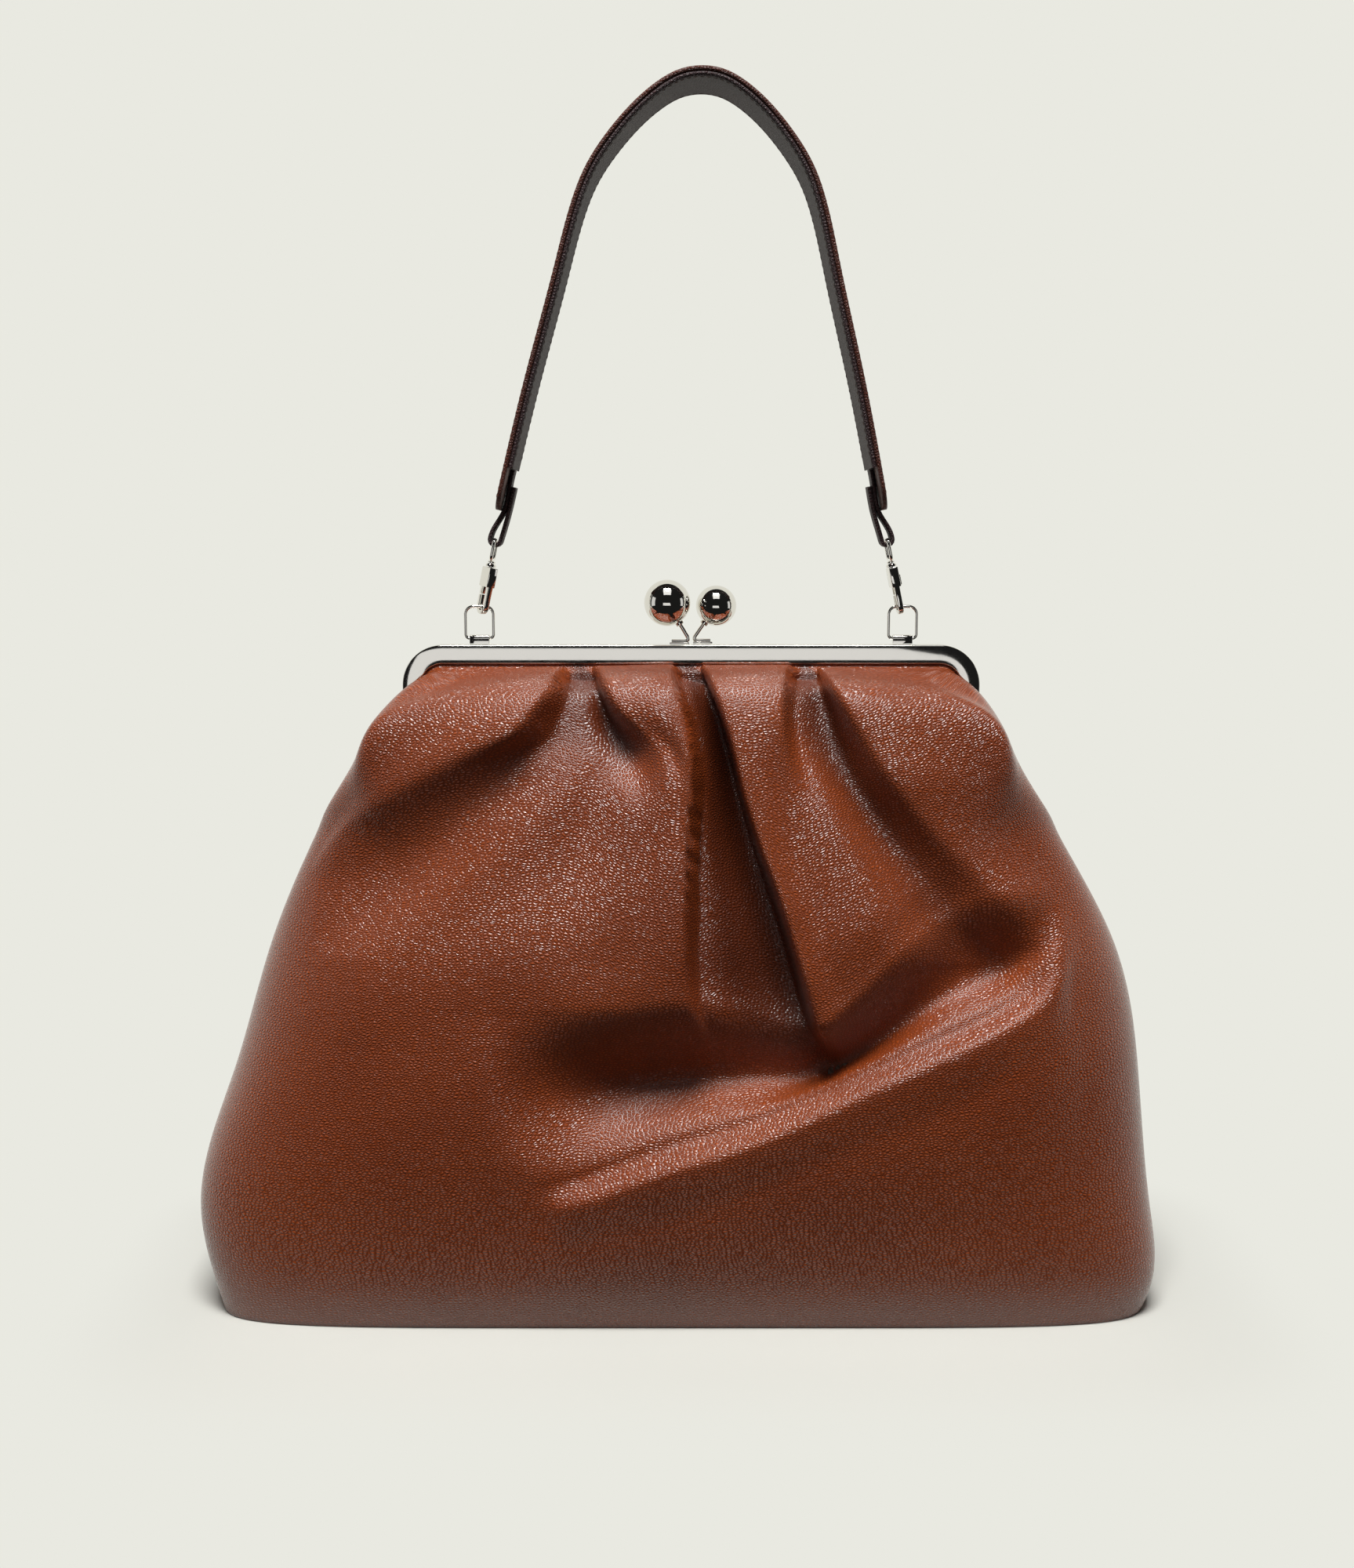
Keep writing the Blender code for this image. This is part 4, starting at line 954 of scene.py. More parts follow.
@dataclass(frozen=True)
class CottonTwill(Finish):
    """Cotton twill: matt cloth with a diagonal rib, here a rib a millimetre wide so that it shows."""

    name: str = "cotton_twill"
    shade: str = "#8A7563"
    shadow: str = "#5D4C3F"
    rib: float = 1.0 * MM
    yarn_scale: float = 900.0
    relief: float = 0.1 * MM

    def inputs(self, tree: NodeTree) -> dict[str, Any]:
        """Diagonal ribs along the cloth with uneven yarn."""
        place = grain_place(tree)
        ribs = diagonal_bands(
            tree, place,
            {"Scale": 0.22 / self.rib, "Distortion": 0.6, "Detail": 2.0, "Detail Scale": 2.0},
        )
        woven = reckon(tree, "MULTIPLY", ribs, noise(tree, place, self.yarn_scale, 3.0, flat=True))
        return {
            "Base Color": between(tree, ranged(tree, woven, 0.0, 1.0, end=0.6), self.shadow, self.shade),
            "Normal": bump(tree, woven, self.relief, 0.6),
            "Roughness": 0.88,
            "Sheen Weight": 0.2,
        }


@dataclass(frozen=True)
class FibreStock(Finish):
    """Pressed fibre, as greyboard or twisted paper: matt, flecked and slightly furry."""

    name: str
    shade: str
    fleck: str
    grain: float = 0.5 * MM
    relief: float = 0.1 * MM

    def inputs(self, tree: NodeTree) -> dict[str, Any]:
        """Two tones of fibre with a fine bump."""
        fibre = noise(tree, own_place(tree), 1 / self.grain, 4.0, 0.65)
        return {
            "Base Color": between(tree, fibre, self.shade, self.fleck),
            "Normal": bump(tree, fibre, self.relief, 0.5),
            "Roughness": 0.92,
        }


@dataclass(frozen=True)
class WaxedThread(Finish):
    """Waxed polyester thread: two twisted strands with a soft shine."""

    name: str = "waxed_thread"
    shade: str = "#3A2219"
    light: str = "#6A4636"
    strand_scale: float = 700.0
    relief: float = 0.05 * MM

    def inputs(self, tree: NodeTree) -> dict[str, Any]:
        """Twisted strands as fine diagonal bands."""
        strands = diagonal_bands(tree, own_place(tree), {"Scale": self.strand_scale, "Distortion": 1.0})
        return {
            "Base Color": between(tree, strands, self.shade, self.light),
            "Normal": bump(tree, strands, self.relief, 0.5),
            "Roughness": 0.5,
        }


@dataclass(frozen=True)
class Finishes:
    """Every finish on the bag, made once."""

    hide: Material
    strap_hide: Material
    dark_hide: Material
    nickel: Material
    spring: Material
    twill: Material
    board: Material
    cord: Material
    thread: Material

    @classmethod
    def mixed(cls) -> "Finishes":
        """The finishes in this bag's colours."""
        return cls(
            hide=PebbledCalf().material(),
            # The strap is the body's calf painted darker, as shade on its faces turned away from the
            # overhead lamp
            strap_hide=PebbledCalf(
                name="shaded_strap_calf", shade="#6E3019", deep="#562410", crease="#331309",
                pebble=1.0 * MM, top_roughness=0.50, crease_roughness=0.6, coat=0.1,
            ).material(),
            dark_hide=PebbledCalf(
                name="dark_lining_calf", shade="#4A2F30", deep="#382122", crease="#180D0E",
                pebble=1.1 * MM, top_roughness=0.55, crease_roughness=0.65, coat=0.0,
            ).material(),
            nickel=NickelPlate().material(),
            spring=DrawnWire().material(),
            twill=CottonTwill().material(),
            board=FibreStock("grey_board", "#8C7F6E", "#6E6254").material(),
            cord=FibreStock("twisted_paper_cord", "#B49A76", "#8A7350", 0.2 * MM).material(),
            thread=WaxedThread().material(),
        )


# Frame


@dataclass
class ChannelFrame:
    """One of the two hinged channels with the hinge plates at its feet."""

    form: FrameForm
    half: Half
    finishes: Finishes
    lip_round: float = 0.35 * MM
    top_round: float = 0.75 * MM
    plate_round: float = 0.12 * MM

    def profile(self) -> list:
        """The channel's section as depth and inset, outer face first."""
        near, far = GAP / 2, GAP / 2 + self.form.depth
        wall, face = self.form.wall, self.form.face
        corners = [
            (near, face), (near, 0), (far, 0), (far, face),
            (far - wall, face), (far - wall, wall), (near + wall, wall), (near + wall, face),
        ]
        lip, top = self.lip_round, self.top_round
        return filleted(corners, [lip, top / 2, top, lip, lip, top / 2, lip, lip])

    def channel(self) -> Object:
        """The section run along the U, closed at both feet."""
        rows = []
        for y, inset in self.profile():
            line = self.form.u_line(inset, self.form.foot_height)
            rows.append(np.insert(line, 1, self.half.value * y, axis=1))
        points = np.array(rows)
        count, wide, _ = points.shape
        faces = [
            (i * wide + j, i * wide + j + 1, (i + 1) % count * wide + j + 1, (i + 1) % count * wide + j)
            for i in range(count)
            for j in range(wide - 1)
        ]
        faces += [tuple(i * wide for i in range(count))]
        faces += [tuple(i * wide + wide - 1 for i in reversed(range(count)))]
        made = meshed(self.half.label + "_channel", points.reshape(-1, 3), faces)
        clean(made)
        return made

    def plate_outline(self) -> list:
        """A hinge plate in Y and Z: a disc round the rivet and a neck up to the channel."""
        side, form = self.half.value, self.form
        start, end = (90, -180) if self.half is Half.FRONT else (90, 360)
        disc = arc((0, form.hinge_height), form.plate_radius, start, end, 32)
        disc[0] = (side * GAP / 2, form.hinge_height + form.plate_radius)
        neck = form.foot_height + form.plate_neck
        return [(side * GAP / 2, neck)] + disc + [(side * form.plate_radius, neck)]

    def add_plate(self, channel: Object, side: Side) -> None:
        """Joins a hinge plate with its rivet hole to a foot of the channel.

        Args:
            channel: The channel.
            side: The foot's side.
        """
        form = self.form
        layer = 0 if self.half is Half.FRONT else form.wall + GAP
        outer = form.width / 2 - form.plate_set_back
        x = side.value * (outer - layer - form.wall / 2)
        stand = Matrix(((0, 0, 1, x), (1, 0, 0, 0), (0, 1, 0, 0), (0, 0, 0, 1)))
        hole = arc((0, form.hinge_height), HingeRivet.radius + GAP, 0, 360, 24)[:-1]
        plate = slab("plate", [self.plate_outline(), hole], form.wall, self.plate_round, stand)
        combine(channel, plate, "UNION")
        if self.half is Half.BACK:
            back = form.plate_set_back
            near, far = sorted((side.value * (outer - layer - form.wall), side.value * outer))
            low = (near, GAP / 2 + back, form.hinge_height + form.plate_radius + GAP)
            high = (far, form.plate_radius - back, form.foot_height + form.plate_neck - back)
            combine(channel, block("joggle", low, high, 0), "UNION")

    def build(self) -> None:
        """The channel with both plates, riding on its half."""
        channel = self.channel()
        for side in Side:
            self.add_plate(channel, side)
        smoothed(channel)
        name = self.half.label + "_frame"
        settle(channel, self.finishes.nickel, self.half.body, [name])


@dataclass
class HingeRivet:
    """A rivet with a domed head outside, through both hinge plates."""

    form: FrameForm
    side: Side
    finishes: Finishes
    radius: float = 1.2 * MM
    head_radius: float = 2.6 * MM
    head_height: float = 1.0 * MM

    def build(self) -> None:
        """The rivet turned to lie along X."""
        wall = self.form.wall
        face = self.form.width / 2 - self.form.plate_set_back
        outer, inner = face + GAP, face - 2 * wall - 2 * GAP
        head, high = self.head_radius, self.head_height
        dome = [(head * x, outer + high * z) for x, z in arc((0, 0), 1, 90, 0, 12)]
        rest = [
            (self.radius, outer), (self.radius, inner), (head, inner), (head, inner - high * 0.7),
            (head * 0.8, inner - high), (0, inner - high),
        ]
        turn = Matrix.Rotation(self.side.value * math.pi / 2, 4, "Y")
        stand = Matrix.Translation((0, 0, self.form.hinge_height)) @ turn
        name = "hinge_rivet_" + self.side.label
        made = turned("domed_" + name, dome + rest, stand, 32)
        settle(made, self.finishes.nickel, "bag", [name])


# Leather and lining


@dataclass(frozen=True)
class Relief:
    """Heights over the front view, spread between lines that run down it or across it.

    Each line is a row of X, Z and the height raised there, in millimetres. Between two lines the
    height eases from the one to the other, so two lines close together make a crisp edge. Past its
    ends a line fades, and a lean moves it sideways by a share of its height.
    """

    down: bool
    lines: tuple
    fade: float = 12 * MM
    least_step: float = 0.5 * MM
    lean: float = 0.0
    fineness: int = 120

    def height(self, across: Points, up: Points) -> Points:
        """How far the leather stands out.

        Args:
            across: X of places in the front view.
            up: Z of those places.

        Returns:
            The height at each place.
        """
        key = 1 if self.down else 0
        run, side = (up, across) if self.down else (across, up)
        raised = np.zeros_like(run)
        before = None
        for line in self.lines:
            table = np.array(line) * MM
            table = table[np.argsort(table[:, key])]
            knots = table[:, key]
            fine = np.linspace(knots[0], knots[-1], self.fineness)
            smooth = natural_spline(table[:, [1 - key, 2]], knots, fine)
            past = np.maximum(knots[0] - run, 0) + np.maximum(run - knots[-1], 0)
            height = np.interp(run, fine, smooth[:, 1]) * np.exp(-((past / self.fade) ** 2))
            place = np.interp(run, fine, smooth[:, 0]) + self.lean * height
            if before:
                place = np.maximum(place, before[0] + self.least_step)
                raised += (height - before[1]) * ease(before[0], place, side)
            before = place, height
        return raised


PLEATS = Relief(True, (
    # left calm
    ((-109.0, 281.4, 0), (-125.2, 260.6, 0), (-142.3, 234.2, 0), (-161.4, 199.3, 0), (-167.5, 166.7, 0)),
    # left lobe
    ((-53.9, 282.0, 2), (-57.0, 276.8, 4), (-61.8, 269.2, 6), (-68.8, 261.7, 7), (-77.4, 253.8, 7),
     (-90.4, 248.1, 6), (-106.7, 240.0, 4.5), (-130.2, 226.5, 2.5), (-150.2, 210.2, 1.5),
     (-165.0, 192.3, 0)),
    # left fold
    ((-48.8, 282.0, -7), (-51.3, 276.8, -7), (-53.0, 269.2, -8), (-55.0, 261.7, -8), (-57.8, 253.8, -7),
     (-63.3, 246.6, -5), (-75.5, 234.4, -3.5), (-93.6, 220.8, -2.5), (-115.3, 203.9, -2),
     (-137.3, 183.6, -1.5), (-156.1, 161.6, 0)),
    # swell
    ((-48.1, 282.0, -9), (-47.4, 270.1, -8), (-46.1, 257.6, -7), (-46.6, 246.6, -4), (-51.1, 233.9, -1),
     (-65.7, 216.3, 1), (-85.2, 196.9, 2), (-108.3, 173.9, 1.5), (-131.7, 147.2, 1), (-148.8, 123.3, 0)),
    # left pleat
    ((-47.1, 282.0, -10), (-44.6, 273.0, -8), (-42.6, 260.8, -8), (-41.4, 245.0, -4), (-43.6, 226.0, -1),
     (-49.3, 203.8, 0), (-59.1, 171.6, 2), (-69.0, 139.0, 0)),
    # pouf foot
    ((-46.1, 282.0, -10), (-42.8, 275.9, -9), (-38.8, 267.6, -11), (-35.7, 259.2, -12),
     (-31.0, 251.3, -9), (-26.7, 241.9, -4), (-24.1, 232.4, 2), (-24.1, 217.2, 5), (-25.4, 203.2, 5),
     (-26.6, 189.2, 5), (-28.3, 171.8, 4), (-29.9, 145.8, 1)),
    # pouf
    ((-43.7, 282.0, 2), (-38.1, 275.9, 5), (-31.9, 267.6, 6), (-26.2, 261.4, 5), (-19.0, 256.1, 4),
     (-10.5, 248.2, 5), (-6.6, 238.7, 8), (-5.3, 228.0, 9), (-5.3, 217.2, 9), (-5.9, 203.2, 9),
     (-6.6, 189.2, 8), (-7.2, 171.8, 6), (-6.6, 150.1, 3), (-2.4, 126.1, 0)),
    # ridge
    ((-7.2, 282.0, 3), (-7.9, 274.9, 6), (-5.3, 266.1, 8), (-3.0, 257.0, 9), (-1.1, 247.9, 10),
     (-0.4, 238.7, 10), (-0.7, 228.0, 10), (-1.4, 217.2, 10), (-1.7, 203.2, 9), (-2.1, 189.2, 8),
     (-2.7, 171.8, 6), (-2.4, 150.1, 3), (2.5, 126.1, 0)),
    # ridge foot
    ((-4.5, 282.0, -8), (-4.6, 274.9, -6), (-1.3, 266.1, -6), (1.2, 257.0, -6), (3.2, 247.9, -7),
     (3.8, 238.7, -7), (3.5, 228.0, -7), (3.1, 217.2, -7), (2.8, 203.2, -7), (2.5, 189.2, -7),
     (2.2, 171.8, -7), (3.1, 150.1, -6), (5.7, 132.7, -3), (8.4, 112.8, 0)),
    # valley
    ((1.5, 282.0, -14), (5.1, 275.9, -14), (8.8, 267.6, -17), (12.4, 258.6, -20), (15.5, 247.9, -22),
     (18.1, 237.2, -23), (20.7, 226.4, -23), (23.9, 215.6, -23), (27.1, 204.8, -22), (30.9, 194.0, -21),
     (34.5, 183.0, -20), (37.8, 172.1, -20), (42.0, 155.5, -20), (46.0, 139.2, -17), (48.6, 129.3, -12),
     (50.6, 122.7, -8), (53.3, 114.4, -3), (55.3, 107.7, 0)),
    # roll left
    ((3.2, 282.0, 3), (7.5, 275.9, 5), (11.8, 267.6, 6), (15.3, 258.6, 6), (18.5, 247.9, 6),
     (21.0, 237.2, 6), (23.9, 226.4, 6), (27.4, 215.6, 6), (31.0, 204.8, 6), (35.2, 193.9, 6),
     (39.0, 183.0, 6), (42.6, 172.1, 5), (47.5, 155.5, 5), (52.2, 139.2, 4), (55.2, 129.3, 3),
     (57.8, 121.0, 1.5), (61.2, 109.3, 0)),
    # roll right
    ((45.0, 281.8, 3), (40.7, 276.8, 5), (38.1, 269.2, 6), (37.5, 258.6, 6), (38.0, 249.5, 5),
     (39.2, 238.7, 4), (42.1, 222.9, 4), (45.9, 203.8, 4), (51.7, 184.6, 3.5), (57.6, 165.2, 2.5),
     (64.2, 145.6, 1.2), (70.2, 125.9, 0)),
    # right pleat left
    ((48.7, 281.8, -7), (45.8, 276.8, -7), (43.4, 269.2, -7), (43.1, 258.6, -6), (44.9, 249.4, -4),
     (49.3, 238.7, -1), (55.7, 222.8, 2), (63.5, 203.6, 3), (70.6, 184.3, 3), (77.8, 164.9, 2),
     (85.1, 145.4, 0)),
    # right pleat
    ((51.1, 281.8, -11), (53.5, 275.4, -8), (55.5, 269.2, -11), (57.5, 261.7, -12), (60.3, 252.3, -11),
     (66.0, 238.6, -9), (74.7, 224.5, -8), (83.2, 211.9, -7), (97.7, 193.3, -6), (113.5, 173.7, -6),
     (126.8, 160.4, -4)),
    # right lobe
    ((53.8, 281.8, 2), (58.2, 275.4, 4), (62.5, 269.2, 6), (67.4, 261.7, 6), (73.7, 252.2, 5),
     (83.3, 238.5, 5), (94.4, 224.3, 4), (106.1, 211.3, 4), (124.7, 192.2, 4), (140.8, 175.6, 3),
     (151.1, 163.8, 2)),
    # right calm
    ((116.7, 276.9, 0), (123.5, 251.1, 0), (141.8, 217.2, 0), (161.0, 183.5, 0), (171.1, 150.4, 0)),
), lean=0.25)
SAG = Relief(False, (
    # wall
    ((-91.8, -1.8, 0), (-54.4, 1.8, 0), (3.8, 6.1, 0), (42.9, 14.2, 0), (81.6, 25.6, 0),
     (120.1, 39.6, 0), (149.5, 52.4, 0), (176.9, 60.1, 0)),
    # under
    ((-77.0, 29.3, 0), (-53.7, 36.6, 1), (-25.4, 44.4, 2), (3.6, 53.3, 2), (42.0, 69.1, 2),
     (80.2, 85.5, 2), (118.6, 102.2, 2), (148.2, 117.4, 2), (167.0, 124.9, 0)),
    # crest
    ((-61.7, 54.3, 0), (-52.7, 57.2, 2), (-38.9, 61.4, 3), (-11.8, 72.3, 4), (22.5, 83.7, 4),
     (60.6, 100.6, 4), (99.1, 117.8, 4), (134.0, 133.4, 4), (148.7, 142.1, 3), (156.5, 149.9, 2),
     (161.0, 154.9, 0)),
    # behind
    ((-74.6, 71.8, 0), (-63.1, 68.4, -1), (-52.6, 69.1, -3), (-38.8, 74.0, -4), (-11.8, 84.4, -5),
     (22.5, 95.3, -5), (60.5, 112.0, -5), (99.0, 128.7, -5), (133.9, 143.9, -5), (144.5, 151.8, -4),
     (151.0, 159.0, -2), (155.4, 165.0, 0)),
    # hollow
    ((-85.5, 110.7, 0), (-75.8, 105.9, -3), (-66.0, 104.6, -8), (-54.5, 104.0, -14), (-34.6, 104.8, -21),
     (-10.5, 107.1, -24), (20.4, 108.8, -24), (49.8, 109.4, -25), (79.6, 127.4, -20),
     (108.4, 147.5, -17), (133.6, 157.5, -13), (147.5, 164.4, -6), (156.7, 169.7, 0)),
    # overhang
    ((-85.3, 142.1, 0), (-65.7, 143.6, 0), (-34.5, 145.8, 1), (-10.5, 147.1, 0), (20.3, 142.6, -2),
     (49.6, 135.9, -2), (79.4, 160.1, -2), (108.6, 182.8, -1), (134.3, 188.6, 0), (151.9, 189.1, 0),
     (163.4, 189.4, 0)),
    # upper
    ((-95.0, 158.1, 0), (-59.1, 161.9, 0), (-10.5, 168.6, 0), (20.3, 170.2, 0), (49.4, 171.7, 0),
     (79.4, 184.2, 0), (108.8, 202.5, 0), (138.1, 206.1, 0), (161.9, 205.1, 0)),
))


def evened(lengths: Points, axis: int, passes: int = 60) -> Points:
    """Lengths averaged with their neighbours, so that a grain isn't sheared.

    Args:
        lengths: A table of lengths.
        axis: The axis along which they are averaged.
        passes: How many times.

    Returns:
        The averaged table.
    """
    table = np.moveaxis(lengths, axis, 0)
    for _ in range(passes):
        padded = np.concatenate([table[:1], table, table[-1:]])
        table = (padded[:-2] + 2 * padded[1:-1] + padded[2:]) / 4
    return np.moveaxis(table, 0, axis)


def map_points(made: Object, places: Points) -> None:
    """Gives a piece its grain map from a place for each of its points."""
    layer = made.data.uv_layers.new(name=GRAIN_MAP)
    corners = np.empty(len(made.data.loops), np.int32)
    made.data.loops.foreach_get("vertex_index", corners)
    layer.data.foreach_set("uv", places[corners].astype(np.float32).ravel())


def hide_map(made: Object, rows: Points) -> None:
    """Gives a lofted sheet its grain map, measured in metres along and up its own surface."""
    steps = np.linalg.norm(np.diff(rows, axis=1), axis=2)
    across = np.concatenate([np.zeros((len(rows), 1)), np.cumsum(steps, axis=1)], axis=1)
    across = evened(across - across[:, -1:] / 2, 0)
    rises = np.linalg.norm(np.diff(rows, axis=0), axis=2)
    up = evened(np.concatenate([np.zeros((1, rows.shape[1])), np.cumsum(rises, axis=0)], axis=0), 1)
    map_points(made, np.stack([across.ravel(), up.ravel()], 1))


def hang(
    name: str, rows: Points, half: Half, thickness: float, finish: Material,
    shade: Points | None = None,
) -> Object:
    """A sheet that hangs from its half's channel down into the bag.

    Args:
        name: The piece's name without its half.
        rows: The front sheet's outer face, which the back sheet mirrors.
        half: The sheet's half.
        thickness: How thick it grows inwards.
        finish: Its material.
        shade: How deep in a pleat each point lies, from 0 to 1, for the finish's painted pleat shade.

    Returns:
        The sheet.
    """
    faces = grid_faces(*rows.shape[:2])
    if half is Half.BACK:
        rows = rows * (1, -1, 1)
        faces = [face[::-1] for face in faces]
    made = meshed(f"{half.label}_{name}", rows.reshape(-1, 3), faces)
    hide_map(made, rows)
    # Each point's depth in a pleat, which the leather's finish turns into painted shade
    if shade is not None:
        layer = made.data.attributes.new(PLEAT_SHADE_DEPTH, "FLOAT", "POINT")
        layer.data.foreach_set("value", shade.astype(np.float32).ravel())
    apply_modifier(made, "SOLIDIFY", thickness=thickness, offset=-1)
    made.data.shade_smooth()
    made.data.materials.append(finish)
    half.body
    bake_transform(made)
    log.info("%s blends from bag to %s", made.name, half.body)
    return made


def ring_faces(count: int, around: int) -> list:
    """Faces between closed rings of points, one after the other."""
    return [
        (near + j, near + around + j, near + around + (j + 1) % around, near + (j + 1) % around)
        for near in range(0, (count - 1) * around, around)
        for j in range(around)
    ]


def capped_faces(count: int, around: int) -> list:
    """The faces of a closed body through rings of points, both ends included."""
    last = (count - 1) * around
    ends = [tuple(range(around)), tuple(last + j for j in reversed(range(around)))]
    return ring_faces(count, around) + ends


@dataclass
class GatheredPanel:
    """The front or back leather, gathered by pleats into its channel."""

    form: BodyForm
    half: Half
    finishes: Finishes
    columns: int = 241
    rows: int = 188
    pleat_shade_middle: float = 0.08
    pleat_shade_reach: float = 0.34
    pleat_shade_density: float = 1.4
    back_pleats: float = 0.55
    back_sag: float = 0.25
    lip_fade: float = 1.6 * MM
    fold_shade: float = 12 * MM
    straight_low: float = 246 * MM
    straight_high: float = 270 * MM
    lip_reach: float = 7.5 * MM
    foot_fade: float = 14 * MM
    seam_fade: tuple = (0.78, 0.97)
    slot_rows: int = 4

    def fold_height(self, rows: Points) -> Points:
        """The folds' height, none in the channel, at the floor or at the seams.

        Args:
            rows: The panel's points without folds.

        Returns:
            The height at each point.
        """
        across, up = rows[:, :, 0], rows[:, :, 2]
        pleats, sag = PLEATS.height(across, up), SAG.height(across, up)
        if self.half is Half.BACK:
            pleats, sag = self.back_pleats * pleats, self.back_sag * sag
        raised = pleats + sag
        clear = self.form.frame.top - self.form.frame.face - self.form.lip_drop
        raised = raised * (1 - ease(clear - self.lip_fade, clear, up)) * ease(0, self.foot_fade, up)
        along = np.abs(np.linspace(-1, 1, rows.shape[1]))[None, :]
        return raised * (1 - ease(*self.seam_fade, along))

    def closer_columns(self, rows: Points) -> Points:
        """The same sheet with its columns closer together at the pleats.

        Args:
            rows: A table with evenly spread columns.

        Returns:
            The table read at the panel's own count of columns.
        """
        even = np.linspace(-1, 1, rows.shape[1])
        away = (even - self.pleat_shade_middle) / self.pleat_shade_reach
        density = 1 + self.pleat_shade_density * np.exp(-(away**2))
        count = np.cumsum(density) - density[0]
        wanted = np.interp(np.linspace(0, count[-1], self.columns), count, np.arange(len(even)))
        left = np.minimum(wanted.astype(int), len(even) - 2)
        share = (wanted - left)[None, :, None]
        return rows[:, left] * (1 - share) + rows[:, left + 1] * share

    def build(self) -> None:
        """The panel with its folds, its thickness and its grain."""
        rows = self.form.leather_rows(2 * self.columns, self.rows)
        raised = self.fold_height(rows)
        # Depth in a pleat from 0 to 1, which the leather's finish paints as shade
        deep = np.clip(-PLEATS.height(rows[:, :, 0], rows[:, :, 2]) / self.fold_shade, 0, 1)
        deep = self.closer_columns(deep[:, :, None])[:, :, 0]
        deep = np.concatenate([deep, np.repeat(deep[-1:], self.slot_rows, axis=0)])
        # Under the frame a pleat goes straight back, not down along the shoulder's normal
        straight = ease(self.straight_low, self.straight_high, rows[:, :, 2]) * (raised < 0)
        toward = normals_of(rows) * (1 - straight[:, :, None])
        toward[:, :, 1] -= straight
        limit = -GAP / 2 * (1 - straight) - self.lip_reach * straight
        limit = np.maximum(limit, rows[:, :, 1])
        rows = rows + toward * raised[:, :, None]
        rows[:, :, 0] -= PLEATS.lean * raised
        rows[:, :, 1] = np.minimum(rows[:, :, 1], limit)
        face = self.form.frame.slot_face + GAP
        slot = self.form.slot_rows(face, 2 * self.columns, self.slot_rows)
        rows = self.closer_columns(np.concatenate([rows, slot]))
        hide = self.finishes.hide
        made = hang("leather", rows, self.half, self.form.leather, hide, deep)
        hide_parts(self.half.label + "_panel")


@dataclass
class BaseLeather:
    """The leather under the bag and the board that stiffens it."""

    form: BodyForm
    finishes: Finishes
    thickness: float = 1.3 * MM
    count: int = 121
    # Each ring's inset from the edge and its height over the floor
    rings: tuple = ((1.35, 0.455), (1.8, 0.02), (3, 0.02), (8, 0.02), (20, 0.02), (34, 0.02))
    middle_share: float = 0.8
    sewn_share: float = 0.9

    def build(self) -> None:
        """Rings of the base's outline towards its middle, turned up at the edge."""
        rings = []
        for inset, rise in self.rings:
            front = self.form.foot_line(inset * MM, self.count)
            front[:, 2] = rise * MM
            rings.append(np.concatenate([front, (front * (1, -1, 1))[-2:0:-1]]))
        rings.append(rings[-1] * (self.middle_share, 0, 1))
        points = np.array(rings)
        made = meshed("base_leather", points.reshape(-1, 3), ring_faces(*points.shape[:2]))
        map_points(made, points.reshape(-1, 3)[:, :2])
        clean(made)
        apply_modifier(made, "SOLIDIFY", thickness=self.thickness * self.sewn_share, offset=-1)
        low = min(vertex.co.z for vertex in made.data.vertices)
        made.data.transform(Matrix.Translation((0, 0, max(0.0, -low))))
        smoothed(made)
        settle(made, self.finishes.hide, "bag", ["base_panel"])


